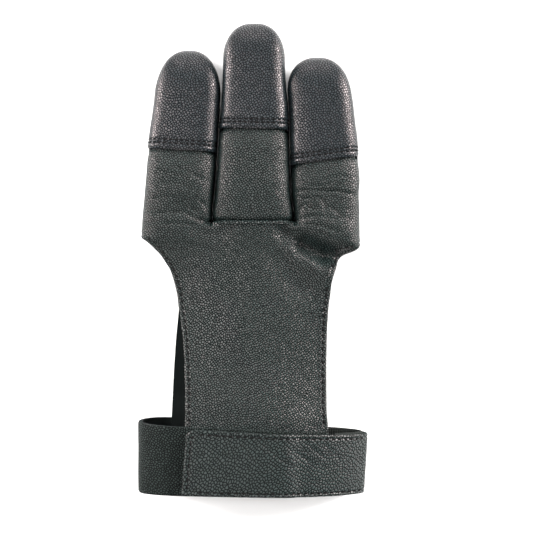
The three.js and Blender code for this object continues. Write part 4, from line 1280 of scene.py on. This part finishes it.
def beside(line, distance):
    """A run of x and y moved sideways, to the left of the way it runs."""
    along = np.gradient(line, axis=0)
    along /= np.linalg.norm(along, axis=1)[:, None]
    return line + np.stack([-along[:, 1], along[:, 0]], axis=1) * distance


def hem_lines():
    """The stitch lines inside the palm panel's two free edges."""
    left, right = free_edges()
    lines = []
    for line, side in ((left, 1), (right, -1)):
        moved = beside(line, HEM_STITCH * side)
        moved = moved[moved[:, 1] > band_high(moved[:, 0]) + HEM_STITCH_GAP]
        height = palm_arch(moved[:, 0], moved[:, 1])
        lines.append(np.column_stack([moved, height]))
    return lines


def cap_line(finger, up):
    """A stitch line across a cap, "up" millimetres above its lower edge."""
    left, right = finger.edges_at(finger.cap_y + up)
    out = FRONT_OUT * CAP_LINE_SHARE
    x = (left + right) / 2 + (right - left) / 2 * out
    z = FRONT_SEAM_Z + (finger.height - FRONT_SEAM_Z) * FRONT_UP
    keep = FRONT_UP > CAP_LINE_LOWEST
    return np.column_stack([x, finger.cap_edge(x) + up, z])[keep]


def tab_line(runs, upper):
    """The stitch line along the tab, inside its upper or its lower edge."""
    px, pz, nx, nz = LOOP_CURVE.at(runs)
    outer, low, high, _ = tab_shape(px, runs)
    y = high - TAB_STITCH if upper else low + TAB_STITCH
    return on_band(px + nx * outer, y, pz + nz * outer)


def tab_end_line():
    """The stitch line up the tab's free end, with its cut corner."""
    outer, low, high, _ = tab_shape(np.array([TAB_END_X]), np.array([TAB_END - TAB_CORNER]))
    share = np.linspace(0, 1, END_SAMPLES)
    run = TAB_END + TAB_END_SLANT * (1 - share) - TAB_END_STITCH
    y = mix(low[0] + TAB_STITCH, high[0] - TAB_STITCH, share)
    cut = np.maximum(y - (high[0] - TAB_STITCH - TAB_CORNER * CORNER_CUT), 0)
    px, pz, nx, nz = LOOP_CURVE.at(run - cut)
    return on_band(px + nx * outer[0], y, pz + nz * outer[0])


# The leather's finish. Its gloss is a little warm. A pebble rises from its edge to its flat top over
# a share of its width, pores add a share of its height, and the valleys are rougher and hold painted
# shade. Broad patches are a little darker and lighter.
WARM_GLOSS = (1.0, 0.85, 0.84)
HILL_TOP = 0.36
PEBBLE_CHANCE = 0.85
PORE_SHARE = 0.3
PORE_SCALE = 2.6
VALLEY_ROUGHNESS = 0.05
PATCH_SCALE = 55.0
PATCH_TONES = (0.86, 1.14)

# The leathers: the pebble's width and depth as shares of the sidebar's, and how much of the colour and
# the gloss the valleys keep, which is painted shade between the pebbles.
LEATHERS = {
    "palm": {"pebble": 1.0, "depth": 1.0, "roughness": 0.38, "gloss": 0.5, "valley": 0.02},
    "cap": {"pebble": 1.05, "depth": 0.65, "roughness": 0.28, "gloss": 0.5, "valley": 0.05},
    "strap": {"pebble": 1.05, "depth": 1.0, "roughness": 0.55, "gloss": 0.15, "valley": 0.02},
    "tab": {"pebble": 1.12, "depth": 1.0, "roughness": 0.42, "gloss": 0.42, "valley": 0.08},
}

# How far each leather's pebbles are stretched, along a line turned by so many radians.
PEBBLE_SHAPES = {
    "palm": {"stretch": 1.15, "turn": 0.6},
    "cap": {"stretch": 1.15, "turn": 0.6},
    "strap": {"stretch": 1.15, "turn": 0.6},
    "tab": {"stretch": 1.4, "turn": -0.9},
}

# The matt fibrous surfaces: how wide and how deep their fibres are, in metres.
FIBRES = {
    "leather_flesh_side": {"roughness": 0.95, "fibre": 0.0003, "depth": 0.00015},
    "cut_leather_edge": {"roughness": 0.85, "fibre": 0.0003, "depth": 0.00015},
    "black_thread": {"roughness": 0.8, "fibre": 0.0002, "depth": 0.0001},
    "closure_fabric": {"roughness": 0.95, "fibre": 0.0005, "depth": 0.0003},
}
FIBRE_BUMP = 0.8
FIBRE_TONES = (0.7, 1.3)
FIBRE_GLOSS = 0.12
THREAD_COLOUR = (0.0015, 0.0015, 0.0015)
INNER_SHADE = 0.12
# The cut edges are the leather's colour made darker by this share: painted shade on the edges.
EDGE_PAINTED_SHADE = 0.3

# The elastic's yarns.
YARN_SCALE = 420.0
YARN_WAVER = 1.5
YARN_BUMP = 0.7
YARN_DEPTH = 0.0002
YARN_TONES = (0.5, 1.3)
YARN_GLOSS = 0.13
YARN_ROUGHNESS = 0.8

FLOOR_COLOUR = (0.93, 0.93, 0.93)
FLOOR_ROUGHNESS = 0.9
FLOOR_GLOSS = 0.1


def feed(node, values):
    """Sets a node's sockets to values, or links them to the outputs that feed them."""
    for socket, value in values.items():
        if isinstance(value, bpy.types.NodeSocket):
            node.id_data.links.new(value, node.inputs[socket])
        else:
            node.inputs[socket].default_value = value


def add(tree, kind, values=None, **settings):
    """A new node with its settings and what its sockets hold."""
    node = tree.nodes.new(kind)
    for name, value in settings.items():
        setattr(node, name, value)
    feed(node, values or {})
    return node


def node_tree(name):
    """A new material with its tree and its empty surface shader."""
    material = bpy.data.materials.new(name)
    material.use_nodes = True
    tree = material.node_tree
    tree.nodes.clear()
    output = add(tree, "ShaderNodeOutputMaterial")
    shader = add(tree, "ShaderNodeBsdfPrincipled")
    feed(output, {"Surface": shader.outputs["BSDF"]})
    return material, tree, shader


def shade(colour, share):
    """A colour made darker or lighter by a share, as a socket takes it."""
    return (*[channel * share for channel in colour], 1)


def tones(tree, share, dark, light):
    """A colour that goes from dark to light with another node's output."""
    values = {"Fac": share, "Color1": dark, "Color2": light}
    return add(tree, "ShaderNodeMixRGB", values, blend_type="MIX").outputs["Color"]


def bumped(tree, height, strength, depth):
    """The surface's direction where another node's output raises it."""
    values = {"Height": height, "Strength": strength, "Distance": depth}
    return add(tree, "ShaderNodeBump", values).outputs["Normal"]


def leather_material(kind, colour, grain_size, grain_depth):
    """Pebbled leather: flat-topped pebbles with a soft sheen, and rougher valleys between them, dulled and
    darkened by painted shade.
    """
    material, tree, shader = node_tree(kind + "_leather")
    row, shape = LEATHERS[kind], PEBBLE_SHAPES[kind]
    pebble = grain_size * row["pebble"]
    roughness, gloss, valley = row["roughness"], row["gloss"], row["valley"]
    where = add(tree, "ShaderNodeTexCoord").outputs["Object"]
    hide = add(tree, "ShaderNodeAttribute", attribute_name=HIDE).outputs["Vector"]
    turned = {"Vector": hide, "Rotation": (0, 0, shape["turn"]), "Scale": (shape["stretch"], 1, 1)}
    on_hide = add(tree, "ShaderNodeMapping", turned, vector_type="TEXTURE").outputs["Vector"]
    edge = add(tree, "ShaderNodeTexVoronoi", voronoi_dimensions="2D", feature="DISTANCE_TO_EDGE")
    feed(edge, {"Vector": on_hide, "Scale": 1 / pebble, "Randomness": PEBBLE_CHANCE})
    rise = {"Value": edge.outputs["Distance"], "From Min": 0.0, "From Max": HILL_TOP}
    hill = add(tree, "ShaderNodeMapRange", rise, interpolation_type="SMOOTHSTEP").outputs["Result"]
    fine = {"Vector": where, "Scale": PORE_SCALE / pebble, "Detail": 3.0, "Roughness": 0.6}
    pores = add(tree, "ShaderNodeTexNoise", fine).outputs["Fac"]
    height = add(tree, "ShaderNodeMath", {0: pores, 1: PORE_SHARE, 2: hill}, operation="MULTIPLY_ADD")
    broad = {"Vector": where, "Scale": PATCH_SCALE, "Detail": 3.0}
    patches = add(tree, "ShaderNodeTexNoise", broad).outputs["Fac"]
    tone = tones(tree, patches, *(shade(colour, share) for share in PATCH_TONES))
    dull = {"Value": hill, "To Min": roughness + VALLEY_ROUGHNESS, "To Max": roughness}
    # Painted shade: the valleys between the pebbles keep only the valley share of the gloss and of the
    # colour.
    shine = {"Value": hill, "To Min": gloss * valley, "To Max": gloss}
    finish_values = {
        "Base Color": tones(tree, hill, shade(colour, valley), tone),
        "Roughness": add(tree, "ShaderNodeMapRange", dull).outputs["Result"],
        "Specular IOR Level": add(tree, "ShaderNodeMapRange", shine).outputs["Result"],
        "Specular Tint": (*WARM_GLOSS, 1),
        "Normal": bumped(tree, height.outputs["Value"], 1.0, grain_depth * row["depth"]),
    }
    feed(shader, finish_values)
    return material


def fibre_material(name, colour):
    """A matt fibrous surface, for the leather's flesh side, cut edges, thread and fabric."""
    material, tree, shader = node_tree(name)
    row = FIBRES[name]
    where = add(tree, "ShaderNodeTexCoord").outputs["Object"]
    fine = {"Vector": where, "Scale": 1 / row["fibre"], "Detail": 4.0, "Roughness": 0.7}
    nap = add(tree, "ShaderNodeTexNoise", fine).outputs["Fac"]
    finish_values = {
        "Base Color": tones(tree, nap, *(shade(colour, share) for share in FIBRE_TONES)),
        "Roughness": row["roughness"],
        "Specular IOR Level": FIBRE_GLOSS,
        "Normal": bumped(tree, nap, FIBRE_BUMP, row["depth"]),
    }
    feed(shader, finish_values)
    return material


def webbing_material(name, colour):
    """Ribbed elastic: fine yarns across the ribs of the mesh."""
    material, tree, shader = node_tree(name)
    where = add(tree, "ShaderNodeTexCoord").outputs["Object"]
    run = {"Vector": where, "Scale": YARN_SCALE, "Distortion": YARN_WAVER}
    yarn = add(tree, "ShaderNodeTexWave", run, wave_type="BANDS", bands_direction="Y").outputs["Fac"]
    finish_values = {
        "Base Color": tones(tree, yarn, *(shade(colour, share) for share in YARN_TONES)),
        "Roughness": YARN_ROUGHNESS,
        "Specular IOR Level": YARN_GLOSS,
        "Normal": bumped(tree, yarn, YARN_BUMP, YARN_DEPTH),
    }
    feed(shader, finish_values)
    return material


def floor_material():
    material, _, shader = node_tree("pale_floor")
    colour = (*FLOOR_COLOUR, 1)
    feed(shader, {"Base Color": colour, "Roughness": FLOOR_ROUGHNESS, "Specular IOR Level": FLOOR_GLOSS})
    return material


# The thicknesses that the sidebar's values set, in millimetres, before anything is built.
SETTINGS = {}
MATERIALS = {}


def read_settings(context):
    """Takes the sidebar's sizes and makes the finishes, once."""
    values = context.scene.glove
    SETTINGS["leather"] = values.leather_thickness / MM
    SETTINGS["cap"] = values.cap_thickness / MM
    SETTINGS["thread"] = values.thread_radius / MM
    leather, webbing = tuple(values.leather_colour), tuple(values.webbing_colour)
    if not MATERIALS:
        colours = {
            "palm": leather,
            "cap": tuple(values.cap_colour),
            "strap": tuple(values.strap_colour),
            "tab": leather,
        }
        for kind, colour in colours.items():
            MATERIALS[kind] = leather_material(kind, colour, values.grain_size, values.grain_depth)
        MATERIALS["inner"] = fibre_material("leather_flesh_side", shade(leather, INNER_SHADE)[:3])
        # Painted shade: the cut edges are a darker copy of the leather.
        MATERIALS["edge"] = fibre_material("cut_leather_edge", shade(leather, EDGE_PAINTED_SHADE)[:3])
        MATERIALS["thread"] = fibre_material("black_thread", THREAD_COLOUR)
        MATERIALS["webbing"] = webbing_material("elastic_webbing", webbing)
        MATERIALS["fabric"] = fibre_material("closure_fabric", webbing)
    return MATERIALS


class GloveSettings(bpy.types.PropertyGroup):
    """Sizes and colours of the glove."""

    leather_thickness: FloatProperty(
        name="Leather",
        description="Thickness of the palm and back leather",
        default=0.0012,
        unit="LENGTH",
    )
    cap_thickness: FloatProperty(
        name="Tip leather",
        description="Thickness of the fingertip leather",
        default=0.0012,
        unit="LENGTH",
    )
    thread_radius: FloatProperty(
        name="Thread",
        description="Radius of the sewing thread",
        default=0.0004,
        unit="LENGTH",
    )
    grain_size: FloatProperty(
        name="Grain",
        description="Width of one pebble of the leather's grain",
        default=0.00097,
        unit="LENGTH",
    )
    grain_depth: FloatProperty(
        name="Grain depth",
        description="Depth of the valleys between pebbles",
        default=0.0001,
        unit="LENGTH",
    )
    leather_colour: FloatVectorProperty(
        name="Leather colour",
        description="Colour of the glove leather",
        default=(0.0138, 0.0245, 0.0234),
        subtype="COLOR",
    )
    cap_colour: FloatVectorProperty(
        name="Tip colour",
        description="Colour of the fingertip leather",
        default=(0.0163, 0.0233, 0.0265),
        subtype="COLOR",
    )
    strap_colour: FloatVectorProperty(
        name="Strap colour",
        description="Colour of the wrist strap",
        default=(0.0125, 0.0195, 0.018),
        subtype="COLOR",
    )
    webbing_colour: FloatVectorProperty(
        name="Webbing colour",
        description="Colour of the elastic",
        default=(0.011, 0.013, 0.012),
        subtype="COLOR",
    )


def leather_slots(materials, kind):
    """A leather piece's materials: its face, its flesh side and its cut edge."""
    return materials[kind], materials["inner"], materials["edge"]


class GLOVE_OT_palm_panel(bpy.types.Operator):
    """Makes the palm with the ring and index fingers' fronts"""

    bl_idname = "glove.palm_panel"
    bl_label = "Palm panel"

    def execute(self, context):
        materials = read_settings(context)
        piece = build_palm_panel()
        finish(piece, "leather", *leather_slots(materials, "palm"))
        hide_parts("palm_panel")
        return {"FINISHED"}


class GLOVE_OT_middle_front(bpy.types.Operator):
    """Makes the middle finger's front, with its seam across the finger's base"""

    bl_idname = "glove.middle_front"
    bl_label = "Middle finger front"

    def execute(self, context):
        materials = read_settings(context)
        piece = build_middle_front()
        finish(piece, "leather", *leather_slots(materials, "palm"))
        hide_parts("middle_finger_front")
        return {"FINISHED"}


class GLOVE_OT_back_panel(bpy.types.Operator):
    """Makes the back of the hand with the backs of the three fingers"""

    bl_idname = "glove.back_panel"
    bl_label = "Back panel"

    def execute(self, context):
        materials = read_settings(context)
        piece = build_back_panel()
        finish(piece, "leather", *leather_slots(materials, "palm"))
        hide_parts("back_panel")
        return {"FINISHED"}


class GLOVE_OT_tip_caps(bpy.types.Operator):
    """Makes the three fingertip pieces with their two rows of stitches each"""

    bl_idname = "glove.tip_caps"
    bl_label = "Fingertip caps"

    def execute(self, context):
        materials = read_settings(context)
        for finger in (RING, MIDDLE, INDEX):
            piece = build_cap(finger)
            finish(piece, "cap_leather", *leather_slots(materials, "cap"))
            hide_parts(finger.node)
            lines = [cap_line(finger, up) for up in CAP_STITCHES]
            sew(finger.node + "_thread", "cap", piece, lines, materials)
        return {"FINISHED"}


class GLOVE_OT_hem_stitches(bpy.types.Operator):
    """Sews the hems along the palm panel's two free edges"""

    bl_idname = "glove.hem_stitches"
    bl_label = "Hem stitches"

    def execute(self, context):
        materials = read_settings(context)
        sew("hem_thread", "hem", bpy.data.objects["palm_leather"], hem_lines(), materials)
        return {"FINISHED"}


class GLOVE_OT_wrist_band(bpy.types.Operator):
    """Makes the leather strap, the elastic and the closure's pad"""

    bl_idname = "glove.wrist_band"
    bl_label = "Wrist band"

    def execute(self, context):
        materials = read_settings(context)
        strap = build_strap()
        finish(strap, "strap_leather", *leather_slots(materials, "strap"))
        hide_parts("wrist_strap")
        elastic = build_elastic()
        webbing, fabric = materials["webbing"], materials["fabric"]
        finish(elastic, "webbing", webbing, webbing, webbing)
        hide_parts("elastic_webbing")
        pad = build_pad()
        finish(pad, "webbing", fabric, fabric, fabric)
        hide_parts("closure_pad")
        return {"FINISHED"}


class GLOVE_OT_closing_tab(bpy.types.Operator):
    """Makes the tab that closes over the strap, with stitches round its edge"""

    bl_idname = "glove.closing_tab"
    bl_label = "Closing tab"

    def execute(self, context):
        materials = read_settings(context)
        piece = build_tab()
        finish(piece, "leather", *leather_slots(materials, "tab"))
        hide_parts("closing_tab")
        runs = levels(TAB_STITCH_START, TAB_END - TAB_CORNER - TAB_END_STITCH, STITCH_STEP)
        lines = [tab_line(runs, upper=False), tab_line(runs, upper=True), tab_end_line()]
        sew("tab_thread", "tab", piece, lines, materials)
        return {"FINISHED"}


# The stage, in metres and watts. Every soft box is aimed at the middle of the glove.
LIGHTS = {
    "key": {"place": (0.85, 0.35, 0.36), "size": (0.3, 0.6), "watts": 36.0},
    "fill": {"place": (-0.88, 0.3, 0.32), "size": (0.3, 0.6), "watts": 27.0},
    "head": {"place": (-0.05, 0.92, 0.42), "size": (0.6, 0.3), "watts": 7.0},
    "top": {"place": (-0.27, 0.06, 0.95), "size": (0.25, 0.25), "watts": 5.5},
    "foot": {"place": (-0.1, -0.75, 0.6), "size": (0.6, 0.3), "watts": 4.0},
}
LIGHT_TARGET = (0, 0, 0.015)
LIGHT_COLOUR = (1.0, 0.98, 0.97)
WORLD_STRENGTH = 0.22
FLOOR_REACH = 3.0
FLOOR_DROP = 0.0003
CLIP_START = 0.01


def softbox(name, row):
    data = bpy.data.lights.new(name, "AREA")
    data.shape = "RECTANGLE"
    data.size, data.size_y = row["size"]
    data.energy = row["watts"]
    data.color = LIGHT_COLOUR
    lamp = bpy.data.objects.new(name, data)
    bpy.context.scene.collection.objects.link(lamp)
    lamp.location = row["place"]
    aim = Vector(LIGHT_TARGET) - Vector(row["place"])
    lamp.rotation_euler = aim.to_track_quat("-Z", "Y").to_euler()


class GLOVE_OT_stage(bpy.types.Operator):
    """Sets the pale floor, the soft lights and the camera"""

    bl_idname = "glove.stage"
    bl_label = "Stage"

    def execute(self, context):
        mesh = bpy.data.meshes.new("floor")
        corners = [(x * FLOOR_REACH, y * FLOOR_REACH, 0) for x, y in ((-1, -1), (1, -1), (1, 1), (-1, 1))]
        mesh.from_pydata(corners, [], [(0, 1, 2, 3)])
        mesh.materials.append(floor_material())
        floor = bpy.data.objects.new("floor", mesh)
        floor.location.z = -FLOOR_DROP
        context.scene.collection.objects.link(floor)
        world = bpy.data.worlds.new("studio")
        world.use_nodes = True
        feed(world.node_tree.nodes["Background"], {"Color": (1, 1, 1, 1), "Strength": WORLD_STRENGTH})
        context.scene.world = world
        for name, row in LIGHTS.items():
            softbox(name, row)
        data = bpy.data.cameras.new("camera")
        data.sensor_width = SENSOR_WIDTH
        data.lens = SENSOR_WIDTH * (CAMERA_HEIGHT - FOCUS_HEIGHT) / FRAME_WIDTH
        data.clip_start = CLIP_START
        camera = bpy.data.objects.new("camera", data)
        camera.location = (CAMERA_X * MM, CAMERA_Y * MM, CAMERA_HEIGHT * MM)
        context.scene.collection.objects.link(camera)
        context.scene.camera = camera
        context.scene.view_settings.view_transform = "Standard"
        return {"FINISHED"}


STEPS = (
    GLOVE_OT_palm_panel,
    GLOVE_OT_middle_front,
    GLOVE_OT_back_panel,
    GLOVE_OT_tip_caps,
    GLOVE_OT_hem_stitches,
    GLOVE_OT_wrist_band,
    GLOVE_OT_closing_tab,
    GLOVE_OT_stage,
)


class GLOVE_PT_panel(bpy.types.Panel):
    """The glove's sizes, colours and steps, in the 3D view's sidebar"""

    bl_idname = "GLOVE_PT_panel"
    bl_label = "Archery glove"
    bl_space_type = "VIEW_3D"
    bl_region_type = "UI"
    bl_category = "Glove"

    def draw(self, context):
        for name in GloveSettings.__annotations__:
            self.layout.prop(context.scene.glove, name)
        for step in STEPS:
            self.layout.operator(step.bl_idname)


CLASSES = (GloveSettings, *STEPS, GLOVE_PT_panel)


def register():
    for cls in CLASSES:
        bpy.utils.register_class(cls)
    bpy.types.Scene.glove = PointerProperty(type=GloveSettings)


def unregister():
    del bpy.types.Scene.glove
    for cls in reversed(CLASSES):
        bpy.utils.unregister_class(cls)


def main():
    register()
    for step in STEPS:
        group, name = step.bl_idname.split(".")
        getattr(getattr(bpy.ops, group), name)()


if __name__ == "__main__":
    main()
